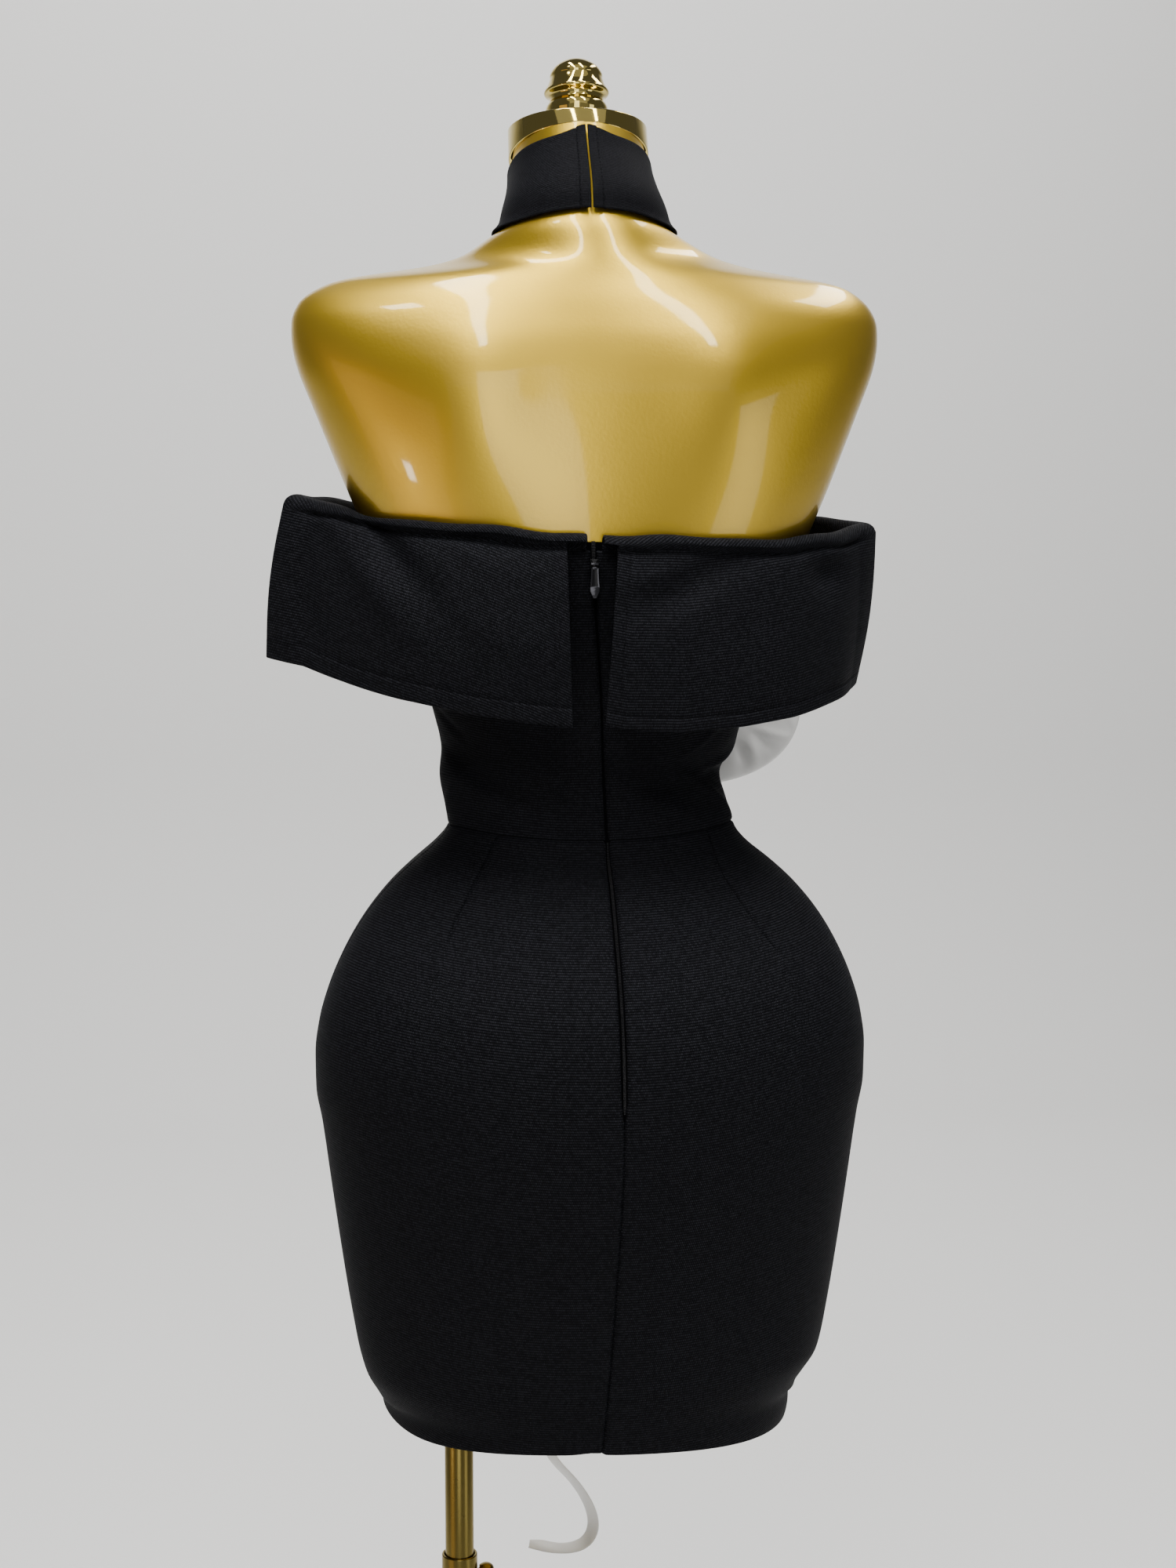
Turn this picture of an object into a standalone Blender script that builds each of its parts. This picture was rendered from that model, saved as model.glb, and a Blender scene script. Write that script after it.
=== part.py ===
"""Off-shoulder rib-knit bodycon dress with a fold-over cuff, on a limbless dress form and its stand.

Metres, +Z up, floor at z = 0. The garment's front faces -Y, its back faces +Y, and the wearer's left is +X.
A point on the body is given by a turn round it (0 at the centre back, 90 degrees at the wearer's left)
and a height. Cloth pieces are walls between two grids of such points.
"""
import math

import bmesh
import bpy
from mathutils import Matrix, Vector

# Driving dimensions, in metres unless named otherwise.
CLOTH = 0.0016                  # wall of the rib knit
CUFF_CLOTH = 0.0020             # wall of the cuff's heavier knit
FORM_GAP = 0.0020               # room between the body's surface and the cloth on it
FORM_SLACK = 0.0022             # how much slimmer still the form is where cloth hides it
SLACK_TOP = 1.215               # the form reaches its full size again above this height
SLACK_FADE = 0.025
BAND_MIDDLE = 1.4600            # half way up the neck band
BAND_REACH = 0.021              # the form is slimmer this far above and below it
SEAM = 0.0003                   # room between two pieces that are sewn together
FORM_BOTTOM = 0.655             # underside of the form
FORM_EDGE_RADIUS = 0.010
NECK_TOP = 1.4935               # middle of the sloping cut at the top of the neck
HEM_HEIGHT = 0.6340
HEM_SLOPE = 0.0050              # how far the hem hangs lower at the wearer's right, and higher at the left
HEM_DIP = 0.0030                # and how far lower between the seams
WAIST_SIDE_HEIGHT = 1.046
WAIST_BACK_DROP = 0.009
WAIST_FRONT_DROP = 0.004
UNDERARM_HEIGHT = 1.178
ROLL_RADIUS = 0.0055            # middle of the cuff's soft top roll
ZIP_BOTTOM = 0.864
ZIP_COIL_RISE = 0.022           # the coil starts this far above the end of the opening
ZIP_GAPE_TOP = 0.0012           # room between the zip's two edges at its top
ZIP_GAPE_SKIRT = 0.0032
ZIP_TAPE_DEPTH = 0.0005         # how far the coil lies below the cloth's face
CAP_RADIUS = 0.0478
CAP_HEIGHT = 0.0222             # in the middle, from the neck's cut to the cap's top
CAP_TILT = math.radians(21.5)   # of the neck's cut, the front lower
CAP_WEDGE = math.radians(12)    # between the cut and the cap's top
ROD_X = 0.0902
ROD_RADIUS = 0.0100
TUBE_RADIUS = 0.0125
TUBE_BORE = 0.0108
TUBE_TOP = 0.525
TUBE_BOTTOM = 0.0185
ROD_BOTTOM = 0.140
KNOB_HEIGHT = 0.5105
KNOB_RADIUS = 0.0062
BASE_RADIUS = 0.180
BASE_EDGE = 0.006
FLANGE_HEIGHT = 0.018
SPACING_STEPS = 360             # samples used to space the rings evenly
BLEND = 0.004                   # heights over which a column of the body's table is evened out
SMALL = 0.002                   # step used to find the body's slopes
CAP_EDGE = 0.0011
ARM_START = 0.112               # sideways distance where the cuff leaves the body
LEFT_RETREAT = (0.0125, 0.0095)  # how much further round than the roll the flap starts: top, bottom
RIGHT_RETREAT = (0.0085, 0.0005)  # the same on the wearer's right
FLAP_STEPS = 6
FLAP_BELLY = 0.0025             # how far the hanging flap bulges half way down
MITRE_REACH = 0.016             # the cuff turns to its arm end's direction over this length
BAND_TOP = 1.4850
BAND_BACK = 1.4435
BAND_SIDE = 1.4385
BAND_SPLIT_X = 0.0010
BAND_GAPE = 0.0018              # room between the band's two ends
BAND_PEAK = 0.0046              # rise of the band's top at the split
BAND_FLARE = 0.0005             # how far its lower edge stands out
BIB_SEAM = 1.4375               # where the band meets the bib at the front
BIB_ROOM = 0.0022               # from the band's lower edge to the bib's top
BIB_TOP_X = 0.0555              # half widths of the bib at the band and at the bust
BIB_LOW_X = 0.080
SLIDER_Z = 1.2200
PULL_LENGTH = 0.0190
PULL_WIDTH = 0.0042
PULL_THICK = 0.0014
RIBBON_WIDTH = 0.011
RIBBON_CLOTH = 0.0010
SATIN_CLOTH = 0.0012
KNOT_CENTRE = Vector((0.0, -0.1440, 1.187))
KNOT_HALF = Vector((0.0125, 0.0105, 0.0185))

BODY_COLUMNS = ("z", "half", "back", "front", "side_y", "full", "tilt", "mid")
# half: half width. back, front: reach from the axis. side_y: where the widest point lies.
# full: 1 is an ellipse, less is pointed at the sides, more is squarer. tilt: forward lean of the
# section, degrees. mid: how far the section's middle lies to the wearer's left.
# The rows below the form's underside shape only the skirt's hem.
BODY_ROWS = (
    (0.6200, 0.1365, 0.0960, 0.1010, -0.0080, 1.20, 0.0, 0.0000),
    (0.6357, 0.1398, 0.0990, 0.1035, -0.0060, 1.20, 0.0, 0.0000),
    (0.6471, 0.1387, 0.1010, 0.1050, 0.0000, 1.18, 0.0, 0.0000),
    (0.6586, 0.1440, 0.1040, 0.1070, 0.0120, 1.14, 0.0, 0.0014),
    (0.6700, 0.1491, 0.1065, 0.1090, 0.0240, 1.10, 0.0, 0.0014),
    (0.6814, 0.1539, 0.1085, 0.1100, 0.0290, 1.07, 0.0, 0.0000),
    (0.7155, 0.1606, 0.1135, 0.1130, 0.0300, 1.04, 0.0, 0.0000),
    (0.7607, 0.1675, 0.1195, 0.1160, 0.0300, 1.03, 0.0, 0.0000),
    (0.8057, 0.1736, 0.1255, 0.1180, 0.0300, 1.04, 0.0, 0.0000),
    (0.8503, 0.1794, 0.1295, 0.1195, 0.0310, 1.04, 0.0, 0.0000),
    (0.8726, 0.1831, 0.1300, 0.1195, 0.0320, 1.04, 0.0, 0.0000),
    (0.8947, 0.1833, 0.1290, 0.1190, 0.0330, 1.04, 0.0, 0.0000),
    (0.9168, 0.1804, 0.1255, 0.1170, 0.0340, 1.03, 0.0, 0.0000),
    (0.9389, 0.1740, 0.1185, 0.1150, 0.0350, 1.03, 0.0, 0.0000),
    (0.9608, 0.1646, 0.1080, 0.1120, 0.0350, 1.02, 0.0, 0.0000),
    (0.9827, 0.1519, 0.0950, 0.1080, 0.0340, 1.01, 0.0, 0.0000),
    (1.0046, 0.1342, 0.0805, 0.1030, 0.0310, 1.00, 0.0, 0.0000),
    (1.0190, 0.1185, 0.0700, 0.0995, 0.0290, 1.00, 0.0, 0.0000),
    (1.0330, 0.1014, 0.0610, 0.0965, 0.0260, 1.00, 0.0, 0.0000),
    (1.0440, 0.0934, 0.0560, 0.0945, 0.0240, 1.00, 0.0, -0.0006),
    (1.0589, 0.0921, 0.0545, 0.0925, 0.0220, 1.00, 0.0, 0.0022),
    (1.0805, 0.0913, 0.0565, 0.0915, 0.0200, 1.00, 0.0, 0.0066),
    (1.1020, 0.0965, 0.0630, 0.0920, 0.0190, 1.00, 0.0, 0.0004),
    (1.1235, 0.1020, 0.0710, 0.0940, 0.0180, 1.00, 0.0, 0.0000),
    (1.1600, 0.1125, 0.0820, 0.0980, 0.0180, 1.00, 0.0, 0.0000),
    (1.2000, 0.1290, 0.0900, 0.1010, 0.0180, 1.00, 0.0, 0.0000),
    (1.2350, 0.1460, 0.0950, 0.1020, 0.0180, 1.00, 0.0, 0.0000),
    (1.2668, 0.1604, 0.0970, 0.0980, 0.0160, 1.02, 0.0, 0.0000),
    (1.2982, 0.1730, 0.0960, 0.0900, 0.0140, 1.04, 0.0, 0.0000),
    (1.3296, 0.1855, 0.0915, 0.0820, 0.0120, 1.04, 0.0, 0.0000),
    (1.3607, 0.1963, 0.0835, 0.0740, 0.0100, 1.00, 0.0, 0.0000),
    (1.3765, 0.1965, 0.0765, 0.0700, 0.0100, 0.90, 0.0, 0.0000),
    (1.3918, 0.1908, 0.0690, 0.0650, 0.0080, 0.74, 0.0, 0.0000),
    (1.3995, 0.1817, 0.0645, 0.0635, 0.0060, 0.60, 0.0, -0.0012),
    (1.4072, 0.1653, 0.0600, 0.0620, 0.0040, 0.46, 0.0, -0.0032),
    (1.4150, 0.1160, 0.0560, 0.0610, 0.0010, 0.42, 0.0, -0.0050),
    (1.4227, 0.0876, 0.0525, 0.0610, -0.0030, 0.55, 0.0, -0.0034),
    (1.4304, 0.0740, 0.0485, 0.0620, -0.0070, 0.75, 2.0, -0.0014),
    (1.4381, 0.0625, 0.0445, 0.0635, -0.0100, 0.92, 5.0, 0.0000),
    (1.4434, 0.0550, 0.0405, 0.0645, -0.0120, 1.00, 7.0, 0.0000),
    (1.4534, 0.0523, 0.0350, 0.0660, -0.0160, 1.00, 11.0, 0.0000),
    (1.4688, 0.0478, 0.0200, 0.0760, -0.0280, 1.00, 17.0, 0.0000),
    (1.4790, 0.0460, 0.0105, 0.0825, -0.0360, 1.00, 20.0, 0.0000),
    (1.4935, 0.0452, 0.0020, 0.0900, -0.0440, 1.00, 21.5, 0.0000),
    (1.5050, 0.0450, -0.0020, 0.0940, -0.0480, 1.00, 21.5, 0.0000),
)

RELIEF_COLUMNS = ("x", "z", "wide", "tall", "rise", "side")
# Soft mounds and grooves of the form: side 1 is the back, -1 the front. Each is mirrored to the other half.
RELIEF_ROWS = (
    (0.068, 1.212, 0.046, 0.048, 0.0190, -1),
    (0.088, 1.325, 0.036, 0.050, 0.0060, 1),
    (0.000, 1.315, 0.018, 0.045, -0.0015, 1),
)

SEAM_COLUMNS = ("z", "x")
# Where the centre-back seam runs; it wanders a little over the hips.
SEAM_ROWS = (
    (0.6357, 0.0015),
    (0.7400, -0.0045),
    (0.8500, -0.0085),
    (0.9900, -0.0072),
    (1.0400, -0.0062),
    (1.1200, -0.0014),
    (1.2400, 0.0074),
    (1.4500, 0.0037),
    (1.5100, 0.0005),
)

FOLD_COLUMNS = ("turn", "z", "wide", "tall", "slope", "rise")
# Soft drags of the cloth: turn in degrees, wide in metres round the body, slope is rise over run.
FOLD_ROWS = (
    (-62, 1.068, 0.030, 0.0050, 0.45, 0.0030),
    (-70, 1.090, 0.026, 0.0045, -0.30, 0.0022),
    (68, 1.076, 0.026, 0.0045, -0.55, 0.0024),
    (50, 1.100, 0.030, 0.0060, -0.60, 0.0018),
    (4, 1.030, 0.045, 0.0050, 0.00, 0.0016),
    (-150, 1.070, 0.035, 0.0050, 0.30, 0.0022),
    (150, 1.082, 0.035, 0.0050, -0.30, 0.0020),
    (-78, 0.653, 0.040, 0.0045, 0.12, 0.0022),
)

CUFF_COLUMNS = ("x", "y", "out", "top", "leg", "flare", "low")
# The cuff's route, seen from above, and its profile. Where y is None the inner leg lies on the form at x,
# out metres from it. top: height of the roll. leg: depth of the inner leg. flare: how far out of the
# route the bottom edge hangs. low: height of the bottom edge.
CUFF_BACK_LEFT = (
    (0.012, None, 0.0034, 1.2400, 0.004, 0.0150, 1.1172),
    (0.045, None, 0.0034, 1.2425, 0.004, 0.0150, 1.1210),
    (0.085, None, 0.0034, 1.2465, 0.005, 0.0160, 1.1272),
    (0.118, None, 0.0050, 1.2500, 0.010, 0.0175, 1.1348),
    (0.152, 0.0400, 0.0, 1.2555, 0.024, 0.0200, 1.1450),
    (0.1865, 0.0040, 0.0, 1.2655, 0.028, 0.0225, 1.1580),
)
CUFF_BACK_RIGHT = (
    (0.002, None, 0.0034, 1.2390, 0.004, 0.0150, 1.1200),
    (-0.010, None, 0.0034, 1.2388, 0.004, 0.0150, 1.1168),
    (-0.045, None, 0.0034, 1.2380, 0.004, 0.0150, 1.1144),
    (-0.085, None, 0.0034, 1.2368, 0.005, 0.0160, 1.1168),
    (-0.118, None, 0.0050, 1.2366, 0.010, 0.0165, 1.1212),
    (-0.152, 0.0390, 0.0, 1.2400, 0.024, 0.0140, 1.1290),
    (-0.1828, 0.0040, 0.0, 1.2467, 0.028, 0.0025, 1.1370),
)
CUFF_FRONT = (
    (0.1865, 0.0040, 0.0, 1.2655, 0.028, 0.0225, 1.1580),
    (0.160, -0.0380, 0.0, 1.2620, 0.026, 0.0170, 1.1530),
    (0.130, -0.0720, 0.0, 1.2590, 0.022, 0.0150, 1.1480),
    (0.094, None, 0.0110, 1.2570, 0.020, 0.0150, 1.1420),
    (0.045, None, 0.0078, 1.2560, 0.020, 0.0150, 1.1370),
    (0.000, None, 0.0072, 1.2555, 0.020, 0.0150, 1.1340),
    (-0.045, None, 0.0078, 1.2555, 0.020, 0.0150, 1.1320),
    (-0.094, None, 0.0110, 1.2550, 0.020, 0.0150, 1.1310),
    (-0.130, -0.0720, 0.0, 1.2540, 0.022, 0.0140, 1.1320),
    (-0.160, -0.0380, 0.0, 1.2510, 0.026, 0.0100, 1.1345),
    (-0.1828, 0.0040, 0.0, 1.2467, 0.028, 0.0025, 1.1370),
)

RIBBON_COLUMNS = ("x", "y", "z", "twist")
# The bow's free ribbon, from the knot down and past the hem. twist: degrees about its own length.
RIBBON_ROWS = (
    (0.000, -0.1470, 1.1670, 0),
    (0.004, -0.1480, 1.1200, 6),
    (0.009, -0.1400, 1.0500, 14),
    (0.014, -0.1310, 0.9600, 10),
    (0.017, -0.1300, 0.8700, -4),
    (0.019, -0.1290, 0.7700, -12),
    (0.021, -0.1270, 0.6700, -4),
    (0.024, -0.1245, 0.6150, 14),
    (0.021, -0.1225, 0.5720, 34),
    (0.0132, -0.1210, 0.5425, 48),
    (-0.0043, -0.1200, 0.5225, 50),
    (-0.0178, -0.1195, 0.4990, 46),
    (-0.0205, -0.1190, 0.4875, 44),
    (-0.0182, -0.1190, 0.4775, 50),
    (-0.0095, -0.1195, 0.4705, 62),
    (0.0040, -0.1200, 0.4692, 68),
    (0.0160, -0.1200, 0.4715, 64),
    (0.0290, -0.1205, 0.4760, 58),
)

# Colours, roughness and metallic value of each finish.
KNIT_BLACK = ("knit_black", (0.012, 0.012, 0.014, 1.0), 0.85, 0.0)
TAPE_BLACK = ("tape_black", (0.008, 0.008, 0.010, 1.0), 0.55, 0.0)
ZIP_GREY = ("zip_grey", (0.10, 0.10, 0.11, 1.0), 0.35, 0.6)
SATIN_WHITE = ("satin_white", (0.78, 0.78, 0.76, 1.0), 0.35, 0.0)
FORM_GOLD = ("form_gold", (0.56, 0.37, 0.10, 1.0), 0.28, 0.75)
POLISHED_GOLD = ("polished_gold", (0.72, 0.58, 0.24, 1.0), 0.12, 1.0)
STAND_GOLD = ("stand_gold", (0.40, 0.31, 0.11, 1.0), 0.25, 1.0)


def clear_scene():
    for thing in list(bpy.data.objects):
        bpy.data.objects.remove(thing, do_unlink=True)


# ---- curves and the body's surface ----

def curve_through(places, values):
    """A smooth curve through the rows of a table, with no swing between them."""
    count = len(places)
    steps = [places[i + 1] - places[i] for i in range(count - 1)]
    rises = [(values[i + 1] - values[i]) / steps[i] for i in range(count - 1)]
    slopes = [rises[0]]
    for i in range(1, count - 1):
        before, after = rises[i - 1], rises[i]
        if before * after <= 0:
            slopes.append(0.0)
            continue
        near = 2 * steps[i] + steps[i - 1]
        far = steps[i] + 2 * steps[i - 1]
        slopes.append((near + far) / (near / before + far / after))
    slopes.append(rises[-1])

    def value(place):
        if place <= places[0]:
            return values[0] + slopes[0] * (place - places[0])
        if place >= places[-1]:
            return values[-1] + slopes[-1] * (place - places[-1])
        i = 0
        while places[i + 1] < place:
            i += 1
        step = steps[i]
        t = (place - places[i]) / step
        back = 1 - t
        return (values[i] * back * back * (1 + 2 * t)
                + values[i + 1] * t * t * (3 - 2 * t)
                + slopes[i] * step * t * back * back
                - slopes[i + 1] * step * t * t * back)

    return value


def table_curves(columns, rows, key=0):
    """One curve for each named column of a table, read along its key column."""
    places = [row[key] for row in rows]
    return {name: curve_through(places, [row[i] for row in rows]) for i, name in enumerate(columns)}


BODY = table_curves(BODY_COLUMNS, BODY_ROWS)
SEAM_LINE = table_curves(SEAM_COLUMNS, SEAM_ROWS)


def body_value(name, z):
    curve = BODY[name]
    return (curve(z - BLEND) + 2 * curve(z) + curve(z + BLEND)) / 4


def relief(x, z, side):
    total = 0.0
    for row in RELIEF_ROWS:
        mound = dict(zip(RELIEF_COLUMNS, row))
        if mound["side"] * side <= 0:
            continue
        across = (abs(x) - mound["x"]) / mound["wide"]
        along = (z - mound["z"]) / mound["tall"]
        total += mound["rise"] * math.exp(-across * across - along * along)
    return total


def body_surface(turn, z):
    """A point of the form's skin."""
    sine = math.sin(turn)
    cosine = math.cos(turn)
    side_y = body_value("side_y", z)
    full = body_value("full", z)
    if cosine > 0:
        depth = body_value("back", z) - side_y
    else:
        depth = body_value("front", z) + side_y
    depth *= full + (1 - full) * cosine * cosine
    x = body_value("mid", z) + body_value("half", z) * sine
    y = side_y + (depth + relief(x, z, cosine) * abs(cosine)) * cosine
    lean = math.tan(math.radians(body_value("tilt", z)))
    return Vector((x, y, z + (y - side_y) * lean))


def body_normal(turn, z):
    round_step = body_surface(turn + SMALL, z) - body_surface(turn - SMALL, z)
    up_step = body_surface(turn, z + SMALL) - body_surface(turn, z - SMALL)
    return up_step.cross(round_step).normalized()


def body_point(turn, z, out):
    return body_surface(turn, z) + body_normal(turn, z) * out


def turn_at(x, z):
    """The turn, on the back half, whose point lies at a sideways distance x."""
    share = (x - body_value("mid", z)) / body_value("half", z)
    return math.asin(max(-1.0, min(1.0, share)))


def fold_rise(turn, z):
    """How far the cloth's soft drags lift it off the body."""
    total = 0.0
    for row in FOLD_ROWS:
        fold = dict(zip(FOLD_COLUMNS, row))
        gap = turn - math.radians(fold["turn"])
        gap = math.atan2(math.sin(gap), math.cos(gap))
        run = gap * body_value("half", fold["z"])
        across = (z - fold["z"] - fold["slope"] * run) / fold["tall"]
        total += fold["rise"] * math.exp(-(run / fold["wide"]) ** 2 - across * across)
    return total


def blend(start, end, t):
    return start + (end - start) * t


# ---- finishes and solids ----

def finish_of(look):
    name, colour, roughness, metallic = look
    material = bpy.data.materials.get(name)
    if material is None:
        material = bpy.data.materials.new(name)
        material.use_nodes = True
        shader = material.node_tree.nodes["Principled BSDF"]
        shader.inputs["Base Color"].default_value = colour
        shader.inputs["Roughness"].default_value = roughness
        shader.inputs["Metallic"].default_value = metallic
        material.diffuse_color = colour
    return material


def solid_from(name, points, faces, look, origin=None):
    """An object from points and faces, its normals turned outwards, its origin where it is asked."""
    place = Vector(origin) if origin is not None else Vector()
    mesh = bpy.data.meshes.new(name)
    mesh.from_pydata([tuple(Vector(point) - place) for point in points], [], faces)
    edit = bmesh.new()
    edit.from_mesh(mesh)
    bmesh.ops.recalc_face_normals(edit, faces=edit.faces[:])
    if edit.calc_volume(signed=True) < 0:
        bmesh.ops.reverse_faces(edit, faces=edit.faces[:])
    edit.to_mesh(mesh)
    edit.free()
    mesh.shade_smooth()
    mesh.set_sharp_from_angle(angle=math.radians(40))
    mesh.materials.append(finish_of(look))
    thing = bpy.data.objects.new(name, mesh)
    thing.location = place
    bpy.context.scene.collection.objects.link(thing)
    return thing


def wall(name, outer, inner, look):
    """One closed wall between two matching grids of points."""
    rows = len(outer)
    columns = len(outer[0])
    points = [point for grid in (outer, inner) for row in grid for point in row]

    def at(layer, row, column):
        return (layer * rows + row) * columns + column

    faces = []
    for row in range(rows - 1):
        for column in range(columns - 1):
            for layer in (0, 1):
                a = at(layer, row, column)
                b = at(layer, row, column + 1)
                c = at(layer, row + 1, column + 1)
                d = at(layer, row + 1, column)
                faces += [(a, b, c), (a, c, d)] if layer == 0 else [(a, c, b), (a, d, c)]
    border = [(0, column) for column in range(columns)]
    border += [(row, columns - 1) for row in range(1, rows)]
    border += [(rows - 1, column) for column in range(columns - 2, -1, -1)]
    border += [(row, 0) for row in range(rows - 2, 0, -1)]
    for here, there in zip(border, border[1:] + border[:1]):
        faces.append((at(0, *there), at(0, *here), at(1, *here), at(1, *there)))
    return solid_from(name, points, faces, look)


def loft(name, rings, look, origin=None, closed_round=False):
    """A solid through rings of points; its ends are capped unless the rings close on themselves."""
    sides = len(rings[0])
    points = [point for ring in rings for point in ring]
    faces = []
    spans = len(rings) if closed_round else len(rings) - 1
    for ring in range(spans):
        upper = (ring + 1) % len(rings)
        for side in range(sides):
            beside = (side + 1) % sides
            faces.append((ring * sides + side, ring * sides + beside,
                          upper * sides + beside, upper * sides + side))
    if not closed_round:
        faces.append(tuple(range(sides)))
        faces.append(tuple(range((len(rings) - 1) * sides, len(rings) * sides)))
    return solid_from(name, points, faces, look, origin)


def turned(name, profile, sides, look, frame=None, closed_round=False):
    """A piece turned from (radius, height) steps about its own axis, then set in its frame."""
    frame = frame or Matrix()
    rings = []
    for radius, height in profile:
        ring = []
        for side in range(sides):
            angle = math.tau * side / sides
            ring.append(frame @ Vector((radius * math.cos(angle), radius * math.sin(angle), height)))
        rings.append(ring)
    return loft(name, rings, look, frame.translation, closed_round)


# ---- the dress form ----

def even_heights(low, high, count):
    """Heights spaced evenly along the form's outline, closer where it is nearly level."""
    samples = [blend(low, high, i / SPACING_STEPS) for i in range(SPACING_STEPS + 1)]
    lengths = [0.0]
    for below, above in zip(samples, samples[1:]):
        step = Vector((body_value("half", above) - body_value("half", below), above - below))
        lengths.append(lengths[-1] + step.length + abs(step[0]) * 0.8)
    heights = []
    i = 0
    for number in range(count):
        wanted = lengths[-1] * number / (count - 1)
        while i < len(samples) - 2 and lengths[i + 1] < wanted:
            i += 1
        span = lengths[i + 1] - lengths[i]
        heights.append(blend(samples[i], samples[i + 1], (wanted - lengths[i]) / span))
    return heights


def form_skin(turn, z):
    """The form's own surface: the body's, but a little slimmer under the cloth."""
    share = max(0.0, min(1.0, (SLACK_TOP - z) / SLACK_FADE))
    share += math.exp(-((z - BAND_MIDDLE) / BAND_REACH) ** 4)
    return body_point(turn, z, -FORM_SLACK * share)


def make_form_torso():
    sides = 36
    rings = []
    for step in range(4):
        angle = math.radians(30 * step)
        inset = FORM_EDGE_RADIUS * (1 - math.sin(angle))
        z = FORM_BOTTOM + FORM_EDGE_RADIUS * (1 - math.cos(angle))
        ring = []
        for side in range(sides):
            turn = math.tau * side / sides
            point = form_skin(turn, FORM_BOTTOM + FORM_EDGE_RADIUS)
            flat = Vector((point.x, point.y - body_value("side_y", FORM_BOTTOM), 0))
            point -= flat.normalized() * inset
            ring.append(Vector((point.x, point.y, z)))
        rings.append(ring)
    for z in even_heights(FORM_BOTTOM + 2 * FORM_EDGE_RADIUS, NECK_TOP, 36):
        rings.append([form_skin(math.tau * side / sides, z) for side in range(sides)])
    return loft("form_torso", rings, FORM_GOLD)


def neck_frame():
    """The frame of the sloping cut at the top of the neck."""
    middle = Vector((0.0, body_value("side_y", NECK_TOP), NECK_TOP))
    return Matrix.Translation(middle) @ Matrix.Rotation(CAP_TILT, 4, 'X')


def cap_top_frame():
    """The frame of the cap's top, which is nearer level than the neck's cut."""
    return neck_frame() @ Matrix.Translation((0, 0, CAP_HEIGHT)) @ Matrix.Rotation(-CAP_WEDGE, 4, 'X')


def make_neck_cap():
    """A wedge-shaped cap: a round wall between the neck's sloping cut and the flatter top."""
    sides = 40
    base = neck_frame()
    slope = math.tan(CAP_WEDGE)
    steps = ((CAP_RADIUS - CAP_EDGE, SEAM, False), (CAP_RADIUS, SEAM + CAP_EDGE, False),
             (CAP_RADIUS, CAP_EDGE, True), (CAP_RADIUS - CAP_EDGE, 0.0, True))
    rings = []
    for radius, inset, on_top in steps:
        ring = []
        for side in range(sides):
            angle = math.tau * side / sides
            x = radius * math.cos(angle)
            y = radius * math.sin(angle)
            height = CAP_HEIGHT - y * slope - inset if on_top else inset
            ring.append(base @ Vector((x, y, height)))
        rings.append(ring)
    loft("neck_cap", rings, POLISHED_GOLD, cap_top_frame().translation)


def make_finial():
    """A turned knob: a foot, a swelling, a narrow neck, a flared ring and a dome with a small step."""
    profile = (
        (0.0240, SEAM), (0.0240, 0.0024), (0.0206, 0.0042), (0.0200, 0.0062),
        (0.0208, 0.0100), (0.0214, 0.0134), (0.0210, 0.0158), (0.0196, 0.0184),
        (0.0187, 0.0210), (0.0193, 0.0232), (0.0219, 0.0252), (0.0221, 0.0268),
        (0.0212, 0.0286), (0.0187, 0.0340), (0.0175, 0.0367), (0.0181, 0.0371),
        (0.0177, 0.0392), (0.0150, 0.0434), (0.0108, 0.0468), (0.0058, 0.0487),
        (0.0012, 0.0492),
    )
    turned("finial", profile, 28, POLISHED_GOLD, cap_top_frame())


# ---- the knit pieces ----

def cloth_point(turn, z, out):
    return body_point(turn, z, out + fold_rise(turn, z))


def closer_at_ends(t):
    return t - 0.05 * math.sin(math.tau * t)


def panel(name, left_turn, right_turn, low, high, columns, rows):
    """A panel on the form: left_turn and right_turn are functions of height, low and high of the turn."""
    outer = []
    inner = []
    for row in range(rows + 1):
        outer_row = []
        inner_row = []
        for column in range(columns + 1):
            across = column / columns
            guess = blend(left_turn(None), right_turn(None), across)
            z = blend(low(guess), high(guess), closer_at_ends(row / rows))
            turn = blend(left_turn(z), right_turn(z), across)
            outer_row.append(cloth_point(turn, z, FORM_GAP + CLOTH))
            inner_row.append(cloth_point(turn, z, FORM_GAP))
        outer.append(outer_row)
        inner.append(inner_row)
    return wall(name, outer, inner, KNIT_BLACK)


def side_turn(side, nudge):
    """A side seam: its turn is the same at every height but for half the seam's room."""
    def value(z):
        if z is None:
            return side * math.pi / 2
        return side * math.pi / 2 + nudge / body_value("back", z)
    return value


def waist_height(turn):
    cosine = math.cos(turn)
    drop = WAIST_BACK_DROP if cosine > 0 else WAIST_FRONT_DROP
    return WAIST_SIDE_HEIGHT - drop * cosine * cosine


def hem_height(turn):
    return HEM_HEIGHT + HEM_SLOPE * math.sin(turn) - HEM_DIP * math.sin(2 * turn) ** 2


def zip_gape(z):
    """The room between the two edges at the centre back, narrow above and open over the hips."""
    if z < ZIP_BOTTOM:
        return SEAM
    places = (ZIP_BOTTOM, ZIP_BOTTOM + 0.007, ZIP_BOTTOM + 0.022, 1.00, 1.05, 1.13, 1.26)
    widths = (SEAM, 0.0013, ZIP_GAPE_SKIRT, ZIP_GAPE_SKIRT, 0.0016, ZIP_GAPE_TOP, 0.0020)
    opening = curve_through(places, widths)
    return opening(z)


def back_turn(side):
    """A centre-back edge: half the gape away from the wandering seam."""
    def value(z):
        if z is None:
            return 0.0
        return turn_at(SEAM_LINE["x"](z) + side * zip_gape(z) / 2, z)
    return value


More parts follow.
